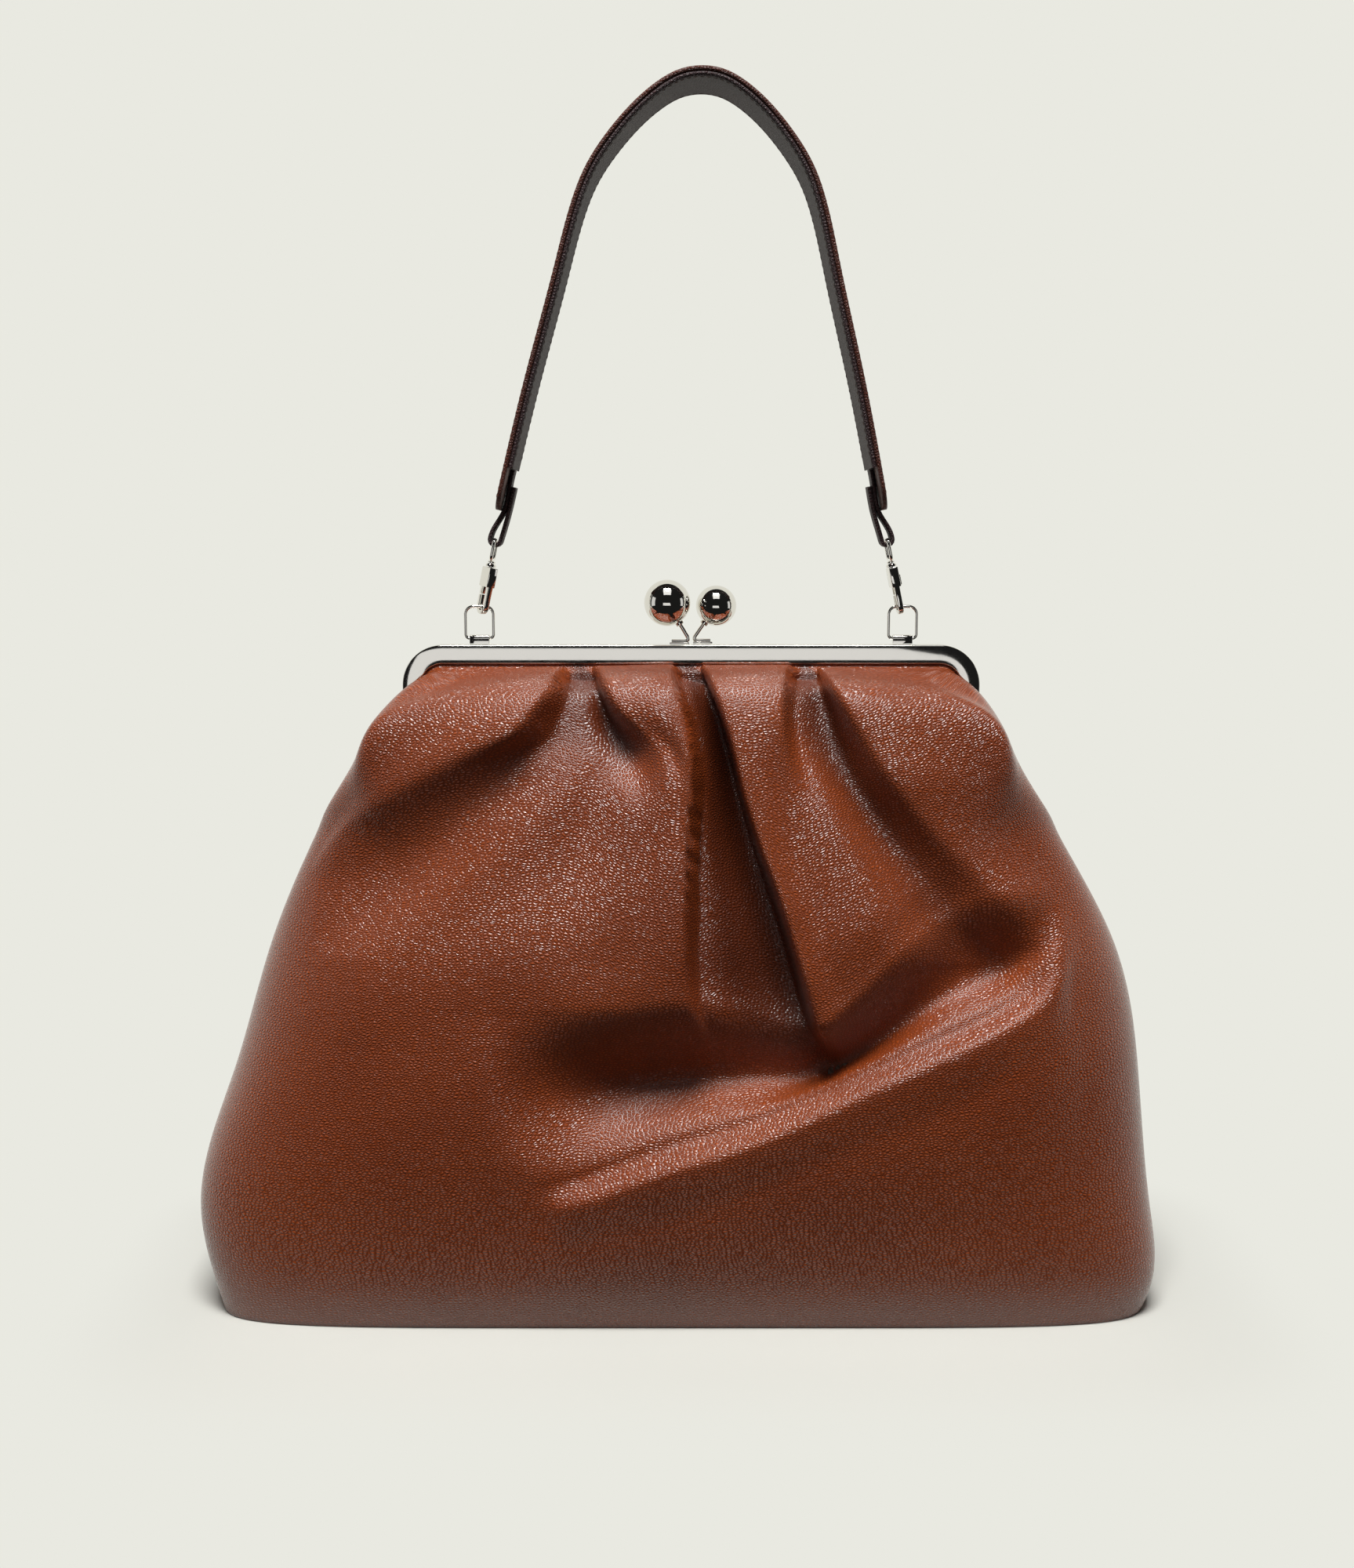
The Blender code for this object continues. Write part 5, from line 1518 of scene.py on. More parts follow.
@dataclass
class TwillLining:
    """One half of the lining, from the bag's floor up into its channel."""

    form: BodyForm
    half: Half
    finishes: Finishes
    thickness: float = 0.6 * MM
    side_inset: float = 11 * MM
    front_inset: float = 16 * MM
    floor: float = 5 * MM
    heel: float = 12 * MM
    reach: float = 5 * MM
    columns: int = 161
    rows: int = 90
    floor_rows: int = 8
    slot_rows: int = 4
    clearance: float = 1 * MM
    ripple: float = 0.9 * MM
    # Waves across and up, in radians, where they start, and their strength
    ripples: tuple = ((19, 22, 0, 1.0), (41, 9, 2, 0.6))
    ripples_start: tuple = (20 * MM, 90 * MM)
    ripples_end: tuple = (200 * MM, 272 * MM)
    seam_fade: tuple = (0.8, 0.98)
    folds_end: tuple = (279 * MM, 281.4 * MM)
    foot: tuple = (0.924, 1.001, 0.531, 0.531, 0, 0.460, 3.2)
    crown: tuple = (
        (0.884, 0.884, 0.020, 0.050),
        (0.868, 0.868, 0.160, 0.160),
        (0.838, 0.838, 0.250, 0.330),
        (0.760, 0.760, 0.310, 0.480),
        (0.640, 0.640, 0.335, 0.560),
        (0.360, 0.360, 0.345, 0.575),
        (0.000, 0.000, 0.345, 0.575),
    )

    def lines(self) -> list:
        """The lines that the lining's wall passes through, from the floor to the channel."""
        form, count = self.form, self.columns
        sides, front = self.side_inset, self.front_inset
        low = form.station(form.stations[0], count, sides + self.heel / 2, front)
        low[:, 2] = self.floor
        heel = form.station(form.stations[1], count, sides, front)
        heel[:, 2] = self.floor + self.heel
        middles = [form.station(shares, count, sides, front) for shares in form.stations[2:4]]
        edge = form.frame.face
        face = form.frame.slot_face + GAP + form.skived + GAP
        inner = form.channel_line(
            edge + self.reach, edge + self.reach, face - self.thickness, face, count
        )
        foot = form.station(self.foot, count)
        return [low, heel] + middles + [foot, form.bulge_line(self.crown, count), inner]

    def hung(self, wall: Points) -> Points:
        """The wall with soft ripples, kept behind the leather's folds.

        Args:
            wall: The wall's smooth rows.

        Returns:
            The rows with their folds.
        """
        up = wall[:, :, 2]
        along = np.linspace(-1, 1, self.columns)[None, :]
        ripple = sum(
            strength * np.sin(along * across + start + up * rise)
            for across, rise, start, strength in self.ripples
        )
        share = ease(*self.ripples_start, up) * (1 - ease(*self.ripples_end, up))
        share = share * (1 - ease(*self.seam_fade, np.abs(along)))
        wall = wall + normals_of(wall) * (ripple * share * self.ripple)[:, :, None]
        folds = PLEATS.height(wall[:, :, 0], up) + SAG.height(wall[:, :, 0], up)
        behind = np.minimum(folds - self.clearance, 0) * (1 - ease(*self.folds_end, up))
        wall = wall + normals_of(wall) * behind[:, :, None]
        wall[:, :, 0] -= PLEATS.lean * behind
        return wall

    def build(self) -> None:
        """Floor, wall and top in one cloth."""
        wall = self.hung(skin(self.lines(), self.rows))
        middle = wall[0] * (1, 0, 1) - (0, GAP / 2, 0)
        shares = np.linspace(0, 1, self.floor_rows)[:-1, None, None]
        floor = middle * (1 - shares) + wall[0] * shares
        face = self.form.frame.slot_face + GAP + self.form.skived + GAP
        seat = self.form.slot_rows(face, self.columns, self.slot_rows)
        rows = np.concatenate([floor, wall, seat])
        rows[:, :, 1] = np.minimum(rows[:, :, 1], -GAP / 2)
        made = hang("twill_lining", rows, self.half, self.thickness, self.finishes.twill)
        label = self.half.label
        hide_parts("lining_" + label + "_top", label + "_lining")


# Clasp


@dataclass
class BallClasp:
    """A ball on a bent arm, standing on one channel."""

    form: FrameForm
    half: Half
    finishes: Finishes
    radius: float
    place: float
    rise: float
    arm_radius: float = 0.85 * MM
    arm_bend: float = 2.8 * MM
    arm_foot: float = 8 * MM
    foot_width: float = 2.6 * MM
    foot_thick: float = 0.8 * MM
    neck_radius: float = 1.8 * MM
    neck: float = 1.0 * MM
    socket: float = 3.0 * MM
    collar_rise: float = 0.3 * MM
    collar_bevel: float = 0.25 * MM
    foot_round: float = 0.2 * MM
    bend_steps: int = 14
    rings: int = 40

    @property
    def side(self) -> float:
        """Which way the arm's foot points along X."""
        return math.copysign(1, self.place)

    @property
    def knee(self) -> tuple[float, float]:
        """Where the arm's slope meets its foot's line."""
        return self.side * self.arm_radius / 2, GAP + self.foot_thick + self.arm_radius / 2

    @property
    def tilt(self) -> float:
        """The turn about Y that points the ball's neck down its arm."""
        x, z = self.knee
        return math.atan2(self.place - x, self.rise - z)

    def ball(self) -> None:
        """The ball with its collar and socket."""
        bore = self.arm_radius + GAP
        start = math.degrees(math.asin(self.neck_radius / self.radius))
        profile = arc((0, 0), self.radius, 90, start - 90, self.rings)
        neck = -self.radius - self.neck
        profile += [
            (self.neck_radius, neck + self.collar_rise),
            (self.neck_radius - self.collar_bevel, neck), (bore, neck),
            (bore, neck + self.socket), (0, neck + self.socket),
        ]
        stand = Matrix.Translation((self.place, self.form.middle(self.half), self.form.top + self.rise))
        stand = stand @ Matrix.Rotation(self.tilt, 4, "Y")
        made = turned("polished_ball_" + self.half.label, profile, stand, 72)
        name = "clasp_ball_" + self.half.label
        settle(made, self.finishes.nickel, self.half.body, [name])

    def arm(self) -> None:
        """The bent arm with its flat foot brazed on the channel."""
        x, z = self.knee
        reach = math.hypot(self.place - x, self.rise - z) - self.radius - self.neck + self.socket - GAP
        lean = Vector((math.sin(self.tilt), math.cos(self.tilt)))
        begin = Vector((x + self.side * self.arm_bend, z))
        corner = Vector((x, z))
        leave = corner + lean * self.arm_bend
        bend = []
        for i in range(1, self.bend_steps):
            t = i / self.bend_steps
            bend.append(begin * (1 - t) ** 2 + corner * 2 * t * (1 - t) + leave * t**2)
        line = [Vector((x + self.side * self.arm_foot, z)), begin, *bend, leave, corner + lean * reach]
        y = self.form.middle(self.half)
        path = np.array([(px, y, pz + self.form.top) for px, pz in line])
        made = tube("bent_arm_" + self.half.label, path, self.arm_radius, sides=24)
        xs = sorted((self.side * self.arm_radius, x + self.side * (self.arm_foot + self.arm_radius)))
        low = (xs[0], y - self.foot_width / 2, self.form.top + GAP)
        high = (xs[1], y + self.foot_width / 2, self.form.top + GAP + self.foot_thick)
        combine(made, block("foot", low, high, self.foot_round), "UNION")
        # Whatever of the arm reaches below the foot is cut off, clear of the channel
        low = (-50 * MM, -50 * MM, self.form.top - 20 * MM)
        high = (50 * MM, 50 * MM, self.form.top + GAP)
        combine(made, block("under", low, high, 0), "DIFFERENCE")
        smoothed(made)
        name = "clasp_arm_" + self.half.label
        settle(made, self.finishes.nickel, self.half.body, [name])

    def build(self) -> None:
        """Ball and arm."""
        self.ball()
        self.arm()


# Rings and snap hooks


@dataclass(frozen=True)
class RingForm:
    """The strap rings in their lugs on the back channel."""

    frame: FrameForm
    place: float = 92 * MM
    wire: float = 0.7 * MM
    width: float = 13.5 * MM
    height: float = 13.8 * MM
    top_corner: float = 3.4 * MM
    bar_corner: float = 1.8 * MM
    lug_wall: float = 0.6 * MM
    lug_length: float = 8.5 * MM
    lug_round: float = 0.15 * MM

    @property
    def lug_radius(self) -> float:
        """The lug's outer radius."""
        return self.wire + GAP + self.lug_wall

    @property
    def bar_height(self) -> float:
        """The height of the ring's straight bar."""
        return self.frame.top + GAP + self.lug_wall + self.lug_radius

    @property
    def top_height(self) -> float:
        """The height of the ring's top wire."""
        return self.bar_height + self.height


@dataclass
class StrapRing:
    """A bent-wire ring in a tube lug."""

    form: RingForm
    side: Side
    finishes: Finishes

    def build(self) -> None:
        """Lug and ring."""
        form = self.form
        x, y = self.side.value * form.place, form.frame.middle(Half.BACK)
        rise = form.lug_wall + form.lug_radius
        outer = arc((0, rise), form.lug_radius, -20, 200, 28)
        outer += [(-form.lug_radius, 0), (form.lug_radius, 0)]
        bore = arc((0, rise), form.wire + GAP, 0, 360, 24)[:-1]
        base = form.frame.top + GAP
        stand = Matrix(((0, 0, 1, x), (1, 0, 0, y), (0, 1, 0, base), (0, 0, 0, 1)))
        lug = slab("tube_lug_" + self.side.label, [outer, bore], form.lug_length, form.lug_round, stand)
        settle(lug, self.finishes.nickel, "back_half", ["ring_lug_" + self.side.label])
        half = form.width / 2 - form.wire
        foot = (half - form.bar_corner, form.bar_corner)
        top = (half - form.top_corner, form.height - form.top_corner)
        right = arc(foot, form.bar_corner, -90, 0, 10) + arc(top, form.top_corner, 0, 90, 14)
        line = right + [(-a, b) for a, b in reversed(right)]
        path = np.array([(x + a, y, form.bar_height + b) for a, b in line])
        ring = tube("bent_ring_" + self.side.label, path, form.wire, closed=True, sides=16)
        body = "ring_" + self.side.label
        settle(ring, self.finishes.nickel, body, ["d_ring_" + self.side.label])


@dataclass
class SnapHook:
    """A swivel snap hook with a sprung bolt, measured along its own axis from the ring's wire."""

    ring: RingForm
    side: Side
    finishes: Finishes
    place: float = 90.4 * MM
    lean: float = math.radians(12)
    left_turn: float = math.radians(35)
    right_turn: float = math.radians(5)
    bar: float = 1.8 * MM
    mouth: float = 3.8 * MM
    thick: float = 2.4 * MM
    slack: float = 0.9 * MM
    tip: float = 5.0 * MM
    housing_foot: float = 8.6 * MM
    housing_top: float = 17.2 * MM
    housing_thick: float = 4.0 * MM
    rounding: float = 0.4 * MM
    roof: float = 0.8 * MM
    bolt_thick: float = 2.0 * MM
    bolt_length: float = 6.7 * MM
    pad_width: float = 3.4 * MM
    pad_thick: float = 1.0 * MM
    pad_height: float = 4.6 * MM
    pad_foot: float = 9.0 * MM
    spring_wire: float = 0.15 * MM
    spring_radius: float = 0.8 * MM
    spring_turns: float = 3.5
    shank: float = 0.7 * MM
    head: float = 1.2 * MM
    head_height: float = 1.0 * MM
    chamber_height: float = 2.0 * MM
    chamber_half: float = 1.5 * MM
    chamber_roof: float = 1.3 * MM
    washer_radius: float = 2.3 * MM
    washer: float = 1.4 * MM
    flange_radius: float = 1.7 * MM
    flange: float = 0.8 * MM
    eye_wire: float = 0.8 * MM
    eye_width: float = 11.6 * MM
    eye_top: float = 29.3 * MM
    eye_corner: float = 2.2 * MM

    @property
    def outer(self) -> float:
        """Half the hook's width."""
        return self.mouth / 2 + self.bar

    @property
    def base(self) -> Matrix:
        """The hook's axis, where it holds the ring's wire."""
        middle = self.ring.frame.middle(Half.BACK)
        stand = Matrix.Translation((self.side.value * self.place, middle, self.ring.top_height))
        return stand @ Matrix.Rotation(-self.side.value * self.lean, 4, "Y")

    @property
    def turn(self) -> float:
        """How far the hook is turned about its axis at rest."""
        return self.left_turn if self.side is Side.LEFT else self.right_turn

    @property
    def turned_plate(self) -> Matrix:
        """The hook's plate in its place at rest, with X across it."""
        return self.base @ Matrix.Rotation(self.turn + math.pi / 2, 4, "Z")

    def part(self, low: Sequence[float], high: Sequence[float], rounding: float) -> Object:
        """A block of the turned plate, between two corners in its own axes."""
        made = block("part", low, high, rounding)
        fix_place(made, self.turned_plate)
        return made

    def body(self) -> None:
        """Spine, round bottom and tip, with the housing of bolt and swivel on top."""
        outer, inner, foot = self.outer, self.mouth / 2, self.housing_foot + 1 * MM
        centre = (0, inner - self.ring.wire - self.slack)
        outline = [(-outer, foot)] + arc(centre, outer, 180, 360, 28)
        outline += [(outer, self.tip), (inner, self.tip)] + arc(centre, inner, 360, 180, 28)
        outline += [(-inner, foot)]
        flat = Matrix.Rotation(math.pi / 2, 4, "X")
        name = "hook_body_" + self.side.label
        made = slab("cast_" + name, [outline], self.thick, self.rounding, self.turned_plate @ flat)
        half = self.housing_thick / 2
        low, high = self.housing_foot, self.housing_top
        combine(made, self.part((-outer, -half, low), (outer, half, high), self.rounding), "UNION")
        pocket = (inner - GAP, -half - MM, low - MM), (
            outer + MM, self.bolt_thick / 2 + GAP, high - self.roof)
        combine(made, self.part(*pocket, 0), "DIFFERENCE")
        roof, side = high - self.chamber_roof, self.chamber_half
        chamber = (-side, -side, roof - self.chamber_height), (inner, side, roof)
        combine(made, self.part(*chamber, 0), "DIFFERENCE")
        bore = [(0, MM), (self.shank + GAP, MM), (self.shank + GAP, -1.5 * MM), (0, -1.5 * MM)]
        cutter = turned("bore", bore, self.base @ Matrix.Translation((0, 0, high)), 24)
        combine(made, cutter, "DIFFERENCE")
        smoothed(made)
        settle(made, self.finishes.nickel, "hook_" + self.side.label, [name])

    def gate(self) -> None:
        """The sliding bolt with its thumb pad."""
        outer, low = self.outer, self.tip + GAP
        half, high = self.bolt_thick / 2, self.tip + GAP + self.bolt_length
        made = self.part((self.mouth / 2, -half, low), (outer, half, high), self.rounding / 2)
        face = -self.housing_thick / 2 - GAP
        neck = (self.mouth / 2 + self.pad_thick / 2, face - self.pad_thick / 2, self.pad_foot), (
            outer - self.rounding, 0, high - self.rounding)
        combine(made, self.part(*neck, 0), "UNION")
        top = self.pad_foot + self.pad_height
        pad = (outer - self.pad_width, face - self.pad_thick, self.pad_foot), (outer, face, top)
        combine(made, self.part(*pad, self.rounding), "UNION")
        name = "hook_gate_" + self.side.label
        made.name = "sliding_" + name
        smoothed(made)
        settle(made, self.finishes.nickel, "gate_" + self.side.label, [name])

    def spring(self) -> None:
        """The coil between the bolt and the housing's roof."""
        low = self.tip + GAP + self.bolt_length + GAP + self.spring_wire
        high = self.housing_top - self.roof - GAP - self.spring_wire
        centre = self.mouth / 2 + self.bar / 2
        turns = np.linspace(0, 1, int(self.spring_turns * 16) + 1)
        angles = 2 * math.pi * self.spring_turns * turns
        path = np.stack([
            self.spring_radius * np.sin(angles),
            centre + self.spring_radius * np.cos(angles),
            low + (high - low) * turns,
        ], 1)
        stand = self.base @ Matrix.Rotation(self.turn, 4, "Z")
        name = "gate_spring_" + self.side.label
        made = tube("coiled_" + name, path, self.spring_wire, sides=8)
        fix_place(made, stand)
        settle(made, self.finishes.spring, "hook_" + self.side.label, [name])
        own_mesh(made)

    def swivel(self) -> None:
        """The coned washer, and the oval eye on its shank."""
        low, inner = self.housing_top + GAP, self.shank + GAP
        cone = [
            (inner, low + self.washer), (self.flange_radius, low + self.washer),
            (self.washer_radius - 0.1 * MM, low + self.washer * 0.6),
            (self.washer_radius, low + self.washer * 0.45), (self.washer_radius, low + 0.12 * MM),
            (self.washer_radius - 0.12 * MM, low), (inner, low),
        ]
        name = "swivel_washer_" + self.side.label
        made = turned("coned_" + name, cone, self.base, 40)
        settle(made, self.finishes.nickel, "hook_" + self.side.label, [name])
        head_top = self.housing_top - self.chamber_roof - GAP
        flange_low = low + self.washer + GAP
        shank = [
            (0, flange_low + self.flange), (self.flange_radius * 0.8, flange_low + self.flange),
            (self.flange_radius, flange_low + self.flange * 0.6), (self.flange_radius, flange_low),
            (self.shank, flange_low), (self.shank, head_top), (self.head, head_top),
            (self.head, head_top - self.head_height), (0, head_top - self.head_height),
        ]
        half, foot = self.eye_width / 2, flange_low + self.flange + self.eye_wire / 2
        corner = self.eye_corner
        right = arc((half - corner, foot + corner), corner, -90, 0, 10)
        right += arc((half - corner, self.eye_top - corner), corner, 0, 90, 10)
        line = right + [(-a, b) for a, b in reversed(right)]
        name = "swivel_eye_" + self.side.label
        eye = tube("oval_" + name, np.array([(0, a, b) for a, b in line]), self.eye_wire, True, 16)
        fix_place(eye, self.base)
        combine(eye, turned("shank", shank, self.base, 32), "UNION")
        smoothed(eye)
        settle(eye, self.finishes.nickel, "shoulder_strap", [name])

    def build(self) -> None:
        """Body, gate, spring and swivel."""
        self.body()
        self.gate()
        self.spring()
        self.swivel()


# Shoulder strap


@dataclass
class ShoulderStrap:
    """Two leathers sewn back to back, with a tab at each end round its hook's eye."""

    ring: RingForm
    finishes: Finishes
    apex: float = 527.5 * MM
    half_span: float = 83.6 * MM
    end: float = 348.6 * MM
    lean: float = 4.2 * MM
    width: float = 32 * MM
    leather: float = 2.1 * MM
    lining: float = 2.0 * MM
    end_round: float = 10 * MM
    tab: float = 1.8 * MM
    tab_width: float = 9 * MM
    tab_loop: float = 2.3 * MM
    tab_hidden: float = 18 * MM
    tab_free: float = 11 * MM
    stitch_start: float = 6 * MM
    stitch_margin: float = 2.2 * MM
    stitch_pitch: float = 3.2 * MM
    stitch_length: float = 2.4 * MM
    stitch_radius: float = 0.26 * MM
    stitch_sides: int = 6
    # Where along half its length a stitch is how thick
    stitch_swell: tuple = ((-1, 0.35), (-0.7, 0.9), (0, 1.0), (0.7, 0.9), (1, 0.35))
    crown: float = 0.3 * MM
    lining_inset: float = 0.2 * MM
    edge_share: float = 0.46
    fineness: int = 272
    steps: int = 140
    tab_steps: int = 64
    arch: tuple = (
        (1.000, 0.000), (0.850, 0.305), (0.708, 0.562), (0.632, 0.698), (0.562, 0.781),
        (0.455, 0.857), (0.340, 0.918), (0.223, 0.964), (0.110, 0.992), (0.000, 1.000),
    )

    def arch_line(self, count: int) -> Points:
        """The strap's outer face in X and Z, from the left end over the top to the right."""
        half = [(-self.half_span * x, z) for x, z in self.arch]
        whole = np.array(half + [(-x, z) for x, z in half[-2::-1]])
        whole[:, 0] += self.lean * whole[:, 1]
        whole[:, 1] = self.end + (self.apex - self.end) * whole[:, 1]
        return smooth_line(whole, count)

    @staticmethod
    def inwards(line: Points) -> Points:
        """The direction towards the arch's inside at each point."""
        along = np.gradient(line, axis=0)
        along /= np.linalg.norm(along, axis=1, keepdims=True)
        return np.stack([along[:, 1], -along[:, 0]], 1)

    @staticmethod
    def band_loop(half: float, edge: float, thickness: float, crown: float) -> list:
        """One section of a band as depth and width.

        Args:
            half: Half the band's width.
            edge: The radius of its four edges.
            thickness: How deep the band is.
            crown: How far its outer face swells in the middle.

        Returns:
            The section's points, the outer face first.
        """
        flat = np.linspace(-1, 1, 8)
        near, far, side = edge, thickness - edge, half - edge
        loop = [(-crown * (1 - t * t), t * side) for t in flat]
        loop += arc((near, side), edge, 180, 90, 4)[1:]
        loop += arc((far, side), edge, 90, 0, 4)
        loop += [(thickness, -t * side) for t in flat[1:]]
        loop += arc((far, -side), edge, 0, -90, 4)[1:]
        return loop + arc((near, -side), edge, -90, -180, 4)[:-1]

    def ribbon(
        self, name: str, line: Points, outer: float, thickness: float, halves: Points,
        crown: float = 0.0,
    ) -> Object:
        """A band along a line with well-rounded edges.

        Args:
            name: The piece's name.
            line: The strap's outer face in X and Z.
            outer: How far inside that line the band's outer face lies.
            thickness: The band's thickness.
            halves: Half the band's width at each point.
            crown: How far its outer face swells in the middle.

        Returns:
            The band with its grain map.
        """
        y_middle = self.ring.frame.middle(Half.BACK)
        points, places = [], []
        for place, into, half, along in zip(line, self.inwards(line), halves, lengths_along(line)):
            edge = min(self.edge_share * thickness, half / 2)
            loop = self.band_loop(half, edge, thickness, crown)
            for depth, y in loop:
                x, z = place + into * (outer + depth)
                points.append((x, y_middle + y, z))
                places.append((along, y + depth))
        made = meshed(name, points, capped_faces(len(line), len(loop)))
        map_points(made, np.array(places))
        clean(made, 0)
        return smoothed(made)

    def end_rounding(self, line: Points) -> Points:
        """Half the strap's width at each point, rounded towards both ends."""
        along = lengths_along(line)
        near = np.minimum(along, along[-1] - along)
        short = np.clip(1 - near / self.end_round, 0, 1)
        return self.width / 2 - self.end_round * (1 - np.sqrt(1 - short**2))

    def tab_line(self, side: Side) -> Points:
        """The tab's middle line: down inside the strap, round the eye and up again.

        Args:
            side: The strap's end that holds the tab.

        Returns:
            The line's points in X and Z.
        """
        fine = self.arch_line(self.fineness)
        if side is Side.RIGHT:
            fine = fine[::-1]
        end = fine[0]
        up = fine[8] - fine[0]
        up /= np.linalg.norm(up)
        into = np.array((up[1], -up[0])) * -side.value
        hook = SnapHook(self.ring, side, self.finishes)
        wire = self.ring.top_height + hook.eye_top * math.cos(hook.lean)
        eye = np.array((side.value * (hook.place - hook.eye_top * math.sin(hook.lean)), wire))
        first = self.leather + GAP + self.tab / 2
        second = first + self.tab + GAP
        middle, below = float((eye - end) @ into), float((eye - end) @ up)
        loop = arc((middle, below), self.tab_loop, 180, 360, 12)
        points = [(first, self.tab_hidden), (first, self.tab_free), (first, GAP)]
        points += loop + [(second, GAP), (second, self.tab_free)]
        return np.array([end + into * across + up * rise for across, rise in points])

    def stitch(self) -> Points:
        """One stitch along X, thick in its middle and sunk at both ends."""
        half, radius = self.stitch_length / 2, self.stitch_radius
        points = []
        round_turn = 90 - 360 * (self.stitch_sides - 1) / self.stitch_sides
        for share, swell in self.stitch_swell:
            for y, z in arc((0, 0), swell * radius, 90, round_turn, self.stitch_sides - 1):
                points.append((share * half, y, z - abs(share) ** 3 * radius))
        return np.array(points)

    def stitches(self, name: str, line: Points, depth: float) -> None:
        """A row of stitches along both edges of the strap.

        Args:
            name: The piece's name.
            line: The strap's outer face in X and Z.
            depth: How far inside that line the stitches lie.
        """
        travelled = lengths_along(line)
        places = np.arange(self.stitch_start, travelled[-1] - self.stitch_start, self.stitch_pitch)
        row = read_line(line, places)
        toward = self.inwards(line)
        into = np.stack([np.interp(places, travelled, toward[:, k]) for k in range(2)], 1)
        into /= np.linalg.norm(into, axis=1, keepdims=True)
        stitch = self.stitch()
        pattern = capped_faces(len(self.stitch_swell), self.stitch_sides)
        sign = -1 if depth < self.leather else 1
        points, faces = [], []
        for edge in (-1, 1):
            y = self.ring.frame.middle(Half.BACK) + edge * (self.width / 2 - self.stitch_margin)
            for place, inward in zip(row, into):
                tangent = np.array((-inward[1], inward[0]))
                start = len(points)
                for along, across, up in stitch:
                    x, z = place + inward * (depth + sign * up) + tangent * along
                    points.append((x, y + across, z))
                faces += [tuple(start + k for k in face) for face in pattern]
        made = meshed(name, points, faces)
        clean(made, 0)
        settle(smoothed(made), self.finishes.thread, "shoulder_strap")

    def build(self) -> None:
        """Outer leather, lining, tabs and stitching."""
        body, lining_slot = "shoulder_strap", "strap_lining_leather"
        fine = self.arch_line(self.fineness)
        whole = lengths_along(fine)[-1]
        rounding = self.end_round * (1 - np.cos(np.linspace(0, math.pi / 2, 10)))
        between_ends = np.linspace(self.end_round, whole - self.end_round, self.steps)[1:-1]
        line = read_line(fine, np.concatenate([rounding, between_ends, whole - rounding[::-1]]))
        outer = self.ribbon(
            "strap_outer_leather", line, 0, self.leather, self.end_rounding(line), self.crown
        )
        settle(outer, self.finishes.strap_hide, body, ["strap_outer"])
        start = self.tab_hidden + GAP
        inner_line = read_line(fine, np.linspace(start, whole - start, self.steps))
        halves = np.full(self.steps, self.width / 2 - self.lining_inset)
        inner = self.ribbon("strap_lining_leather", inner_line, self.leather, self.lining, halves)
        settle(inner, self.finishes.dark_hide, body, ["strap_lining"])
        for side in Side:
            path = smooth_line(self.tab_line(side), self.tab_steps)
            halves = np.full(self.tab_steps, self.tab_width / 2)
            name = "strap_tab_" + side.label
            tab = self.ribbon("looped_" + name, path, -self.tab / 2, self.tab, halves)
            settle(tab, self.finishes.dark_hide, body, [name])
        self.stitches("inner_stitching", inner_line, self.leather + self.lining)
        self.stitches("outer_stitching", line, 0.0)


# Studio


@dataclass(frozen=True)
class Lamp:
    """A soft rectangular lamp turned to a target; its power is in watts."""

    name: str
    place: tuple
    target: tuple
    size: tuple
    power: float
    glossy: bool

    def build(self) -> None:
        """The lamp, which the camera doesn't see."""
        data = bpy.data.lights.new(self.name, "AREA")
        data.shape = "RECTANGLE"
        data.size, data.size_y = self.size
        data.energy = self.power
        made = placed(self.name, data)
        made.location = self.place
        toward = Vector(self.target) - Vector(self.place)
        made.rotation_euler = toward.to_track_quat("-Z", "Y").to_euler()
        made.visible_glossy = self.glossy
        made.visible_camera = False


@dataclass(frozen=True)
class Card:
    """A flat card that only reflections see, as four corners and a grey."""

    name: str
    corners: tuple
    shade: float

    def build(self) -> None:
        """The card with its even glow."""
        made = meshed(self.name, self.corners, [(0, 1, 2, 3)])
        finish, tree, shader = blank(self.name)
        tree.nodes.remove(shader)
        glow = {"Color": (self.shade, self.shade, self.shade, 1), "Strength": 1.0}
        light = add_node(tree, "ShaderNodeEmission", None, glow)
        tree.links.new(light.outputs[0], tree.nodes["Material Output"].inputs["Surface"])
        made.data.materials.append(finish)
        made.visible_camera = made.visible_diffuse = made.visible_shadow = False
        made.visible_transmission = made.visible_volume_scatter = False


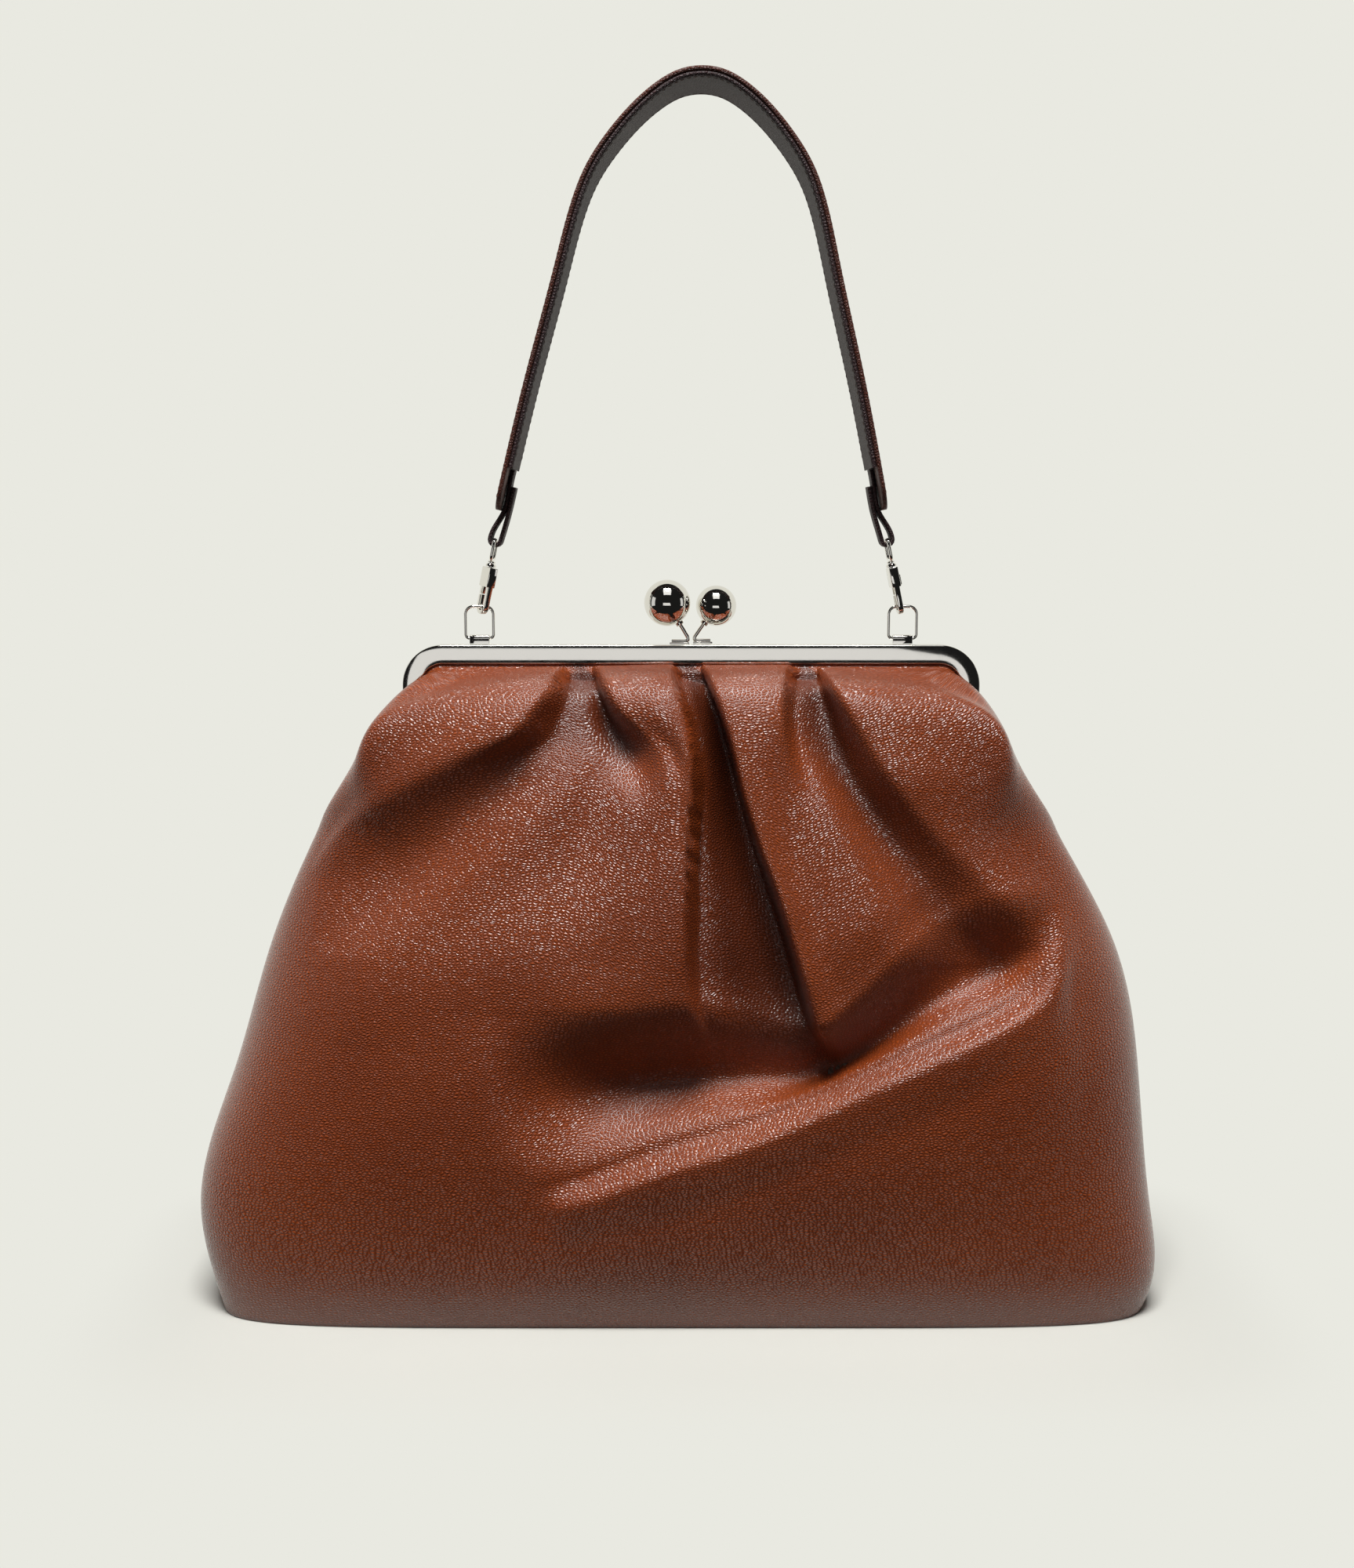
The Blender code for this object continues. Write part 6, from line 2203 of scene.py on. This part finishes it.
@dataclass
class Studio:
    """Camera, lamps, floor and cards of a plain studio."""

    backdrop: str = "#E9E9E1"
    floor_paint: str = "#DFDFD7"
    bounce: str = "#504C47"
    side_light: float = 0.02
    top_light: float = 0.07
    camera_place: tuple = (-6.1 * MM, -750 * MM, 335 * MM)
    camera_pitch: float = math.radians(8)
    lens: float = 39.6
    sensor: float = 36.0
    floor_half: float = 4.0
    # The floor takes shadow near this box round the bag's foot and is plain further out
    foot: tuple = (190 * MM, 60 * MM, 0)
    near_floor: float = 20 * MM
    far_floor: float = 90 * MM
    lamps: tuple = (
        Lamp("overhead", (-0.06, -0.80, 2.34), (0, -0.03, 0.1), (0.95, 0.7), 64.0, True),
        Lamp("front_fill", (-0.4, -2.4, 0.9), (0, 0, 0.2), (1.6, 1.2), 1.5, False),
    )
    # A dark room in front and overhead, with pale cards that chrome picks up
    cards: tuple = (
        Card("dark_front", ((-3, -2, 0), (3, -2, 0), (3, -2, 2.6), (-3, -2, 2.6)), 0.012),
        Card(
            "dark_ground",
            ((-3, -2, 0.001), (3, -2, 0.001), (3, -0.07, 0.001), (-3, -0.07, 0.001)), 0.012,
        ),
        Card("dark_roof", ((-3, -2, 2.6), (3, -2, 2.6), (3, 0.9, 2.6), (-3, 0.9, 2.6)), 0.012),
        Card("dark_left", ((-1.6, -2, 0), (-1.6, 0.1, 0), (-1.6, 0.1, 2.6), (-1.6, -2, 2.6)), 0.012),
        Card("dark_right", ((1.6, -2, 0), (1.6, 0.1, 0), (1.6, 0.1, 2.6), (1.6, -2, 2.6)), 0.012),
        Card(
            "pale_front",
            ((-0.34, -0.9, 0.14), (0.275, -0.9, 0.14), (0.205, -0.9, 0.34), (-0.34, -0.9, 0.34)), 0.82,
        ),
        Card(
            "pale_top", ((-0.5, -1.3, 1.5), (0.5, -1.3, 1.5), (0.5, -0.5, 1.9), (-0.5, -0.5, 1.9)), 1.0
        ),
        Card(
            "pale_left",
            ((-1.1, -0.55, 0.1), (-1.1, -0.1, 0.1), (-1.1, -0.1, 0.8), (-1.1, -0.55, 0.8)), 0.7,
        ),
        Card("pale_right", ((1.1, -0.4, 0.1), (1.1, -0.1, 0.1), (1.1, -0.1, 0.7), (1.1, -0.4, 0.7)), 0.7),
    )

    def camera(self) -> None:
        """The camera at the photograph's place."""
        data = bpy.data.cameras.new("view")
        data.lens = self.lens
        data.sensor_width = self.sensor
        data.sensor_fit = "AUTO"
        data.clip_start, data.clip_end = 0.01, 50
        made = placed("view", data)
        made.location = self.camera_place
        made.rotation_euler = (math.pi / 2 - self.camera_pitch, 0, 0)
        bpy.context.scene.camera = made

    def seen(self, tree: NodeTree) -> NodeSocket:
        """1 for rays that should meet the plain backdrop, else 0."""
        path = add_node(tree, "ShaderNodeLightPath").outputs
        first = reckon(tree, "MAXIMUM", path["Is Camera Ray"], path["Is Glossy Ray"])
        return reckon(tree, "MAXIMUM", first, path["Is Transmission Ray"])

    def world(self) -> None:
        """Soft light, weak from the sides and stronger from above, before the plain backdrop."""
        made = bpy.data.worlds.new("studio")
        bpy.context.scene.world = made
        made.use_nodes = True
        tree = made.node_tree
        tree.nodes.clear()
        toward = add_node(tree, "ShaderNodeTexCoord").outputs["Generated"]
        height = add_node(tree, "ShaderNodeSeparateXYZ", None, {0: toward}).outputs["Z"]
        strength = ranged(tree, height, self.side_light, self.top_light, smooth=True)
        light, shown = (
            add_node(tree, "ShaderNodeBackground", None, {"Color": colour, "Strength": power}).outputs[0]
            for colour, power in (((1, 1, 1, 1), strength), (linear(self.backdrop), 1.0))
        )
        mix = add_node(tree, "ShaderNodeMixShader", None, {0: self.seen(tree), 1: light, 2: shown})
        add_node(tree, "ShaderNodeOutputWorld", None, {"Surface": mix.outputs[0]})

    def floor(self) -> None:
        """A pale floor that takes the shadow near the bag and is plain further out."""
        half = self.floor_half
        corners = ((-half, -half, 0), (half, -half, 0), (half, half, 0), (-half, half, 0))
        made = meshed("pale_floor", corners, [(0, 1, 2, 3)])
        finish, tree, shader = blank("painted_floor")
        path = add_node(tree, "ShaderNodeLightPath").outputs["Is Diffuse Ray"]
        paint = between(tree, path, self.floor_paint, self.bounce)
        plug(tree, shader, {"Base Color": paint, "Roughness": 1.0, "Specular IOR Level": 0.0})
        plain = add_node(
            tree, "ShaderNodeEmission", None, {"Color": linear(self.backdrop), "Strength": 1.0}
        ).outputs[0]
        where = own_place(tree)
        for operation, other in (("ABSOLUTE", (0, 0, 0)), ("SUBTRACT", self.foot), ("MAXIMUM", (0, 0, 0))):
            inputs = {0: where, 1: other}
            where = add_node(tree, "ShaderNodeVectorMath", {"operation": operation}, inputs).outputs[0]
        away = add_node(tree, "ShaderNodeVectorMath", {"operation": "LENGTH"}, {0: where})
        far = ranged(tree, away.outputs["Value"], 0.0, 1.0, self.near_floor, self.far_floor, True)
        share = reckon(tree, "MULTIPLY", far, self.seen(tree))
        mix = add_node(
            tree, "ShaderNodeMixShader", None, {0: share, 1: shader.outputs[0], 2: plain}
        ).outputs[0]
        tree.links.new(mix, tree.nodes["Material Output"].inputs["Surface"])
        made.data.materials.append(finish)

    def build(self) -> None:
        """Everything that stands round the bag."""
        bpy.context.scene.view_settings.view_transform = "Standard"
        self.camera()
        self.world()
        self.floor()
        for piece in self.lamps + self.cards:
            piece.build()


# The bag


def dress_kept_nodes(finishes: Finishes) -> None:
    """Gives the CAD nodes that stay their own finish."""
    cord, board = finishes.cord, finishes.board
    for name, finish in (("front_packing", cord), ("back_packing", cord), ("base_board", board)):
        node = frame["nodes"][name]
        node.data.materials.clear()
        node.data.materials.append(finish)
        log.info("%s keeps its shape", name)


def main() -> None:
    """Builds the bag piece by piece, then the studio."""
    logging.basicConfig(level=logging.INFO, format="%(name)s: %(message)s")
    finishes = Finishes.mixed()
    form = FrameForm()
    body = BodyForm(form)
    ring = RingForm(form)
    Studio().build()
    for half in Half:
        ChannelFrame(form, half, finishes).build()
        GatheredPanel(body, half, finishes).build()
        TwillLining(body, half, finishes).build()
    BaseLeather(body, finishes).build()
    BallClasp(form, Half.FRONT, finishes, 10.0 * MM, -10.3 * MM, 18.0 * MM).build()
    BallClasp(form, Half.BACK, finishes, 8.8 * MM, 10.9 * MM, 16.6 * MM).build()
    for side in Side:
        HingeRivet(form, side, finishes).build()
        StrapRing(ring, side, finishes).build()
        SnapHook(ring, side, finishes).build()
    ShoulderStrap(ring, finishes).build()
    dress_kept_nodes(finishes)


if __name__ == "__main__":
    main()
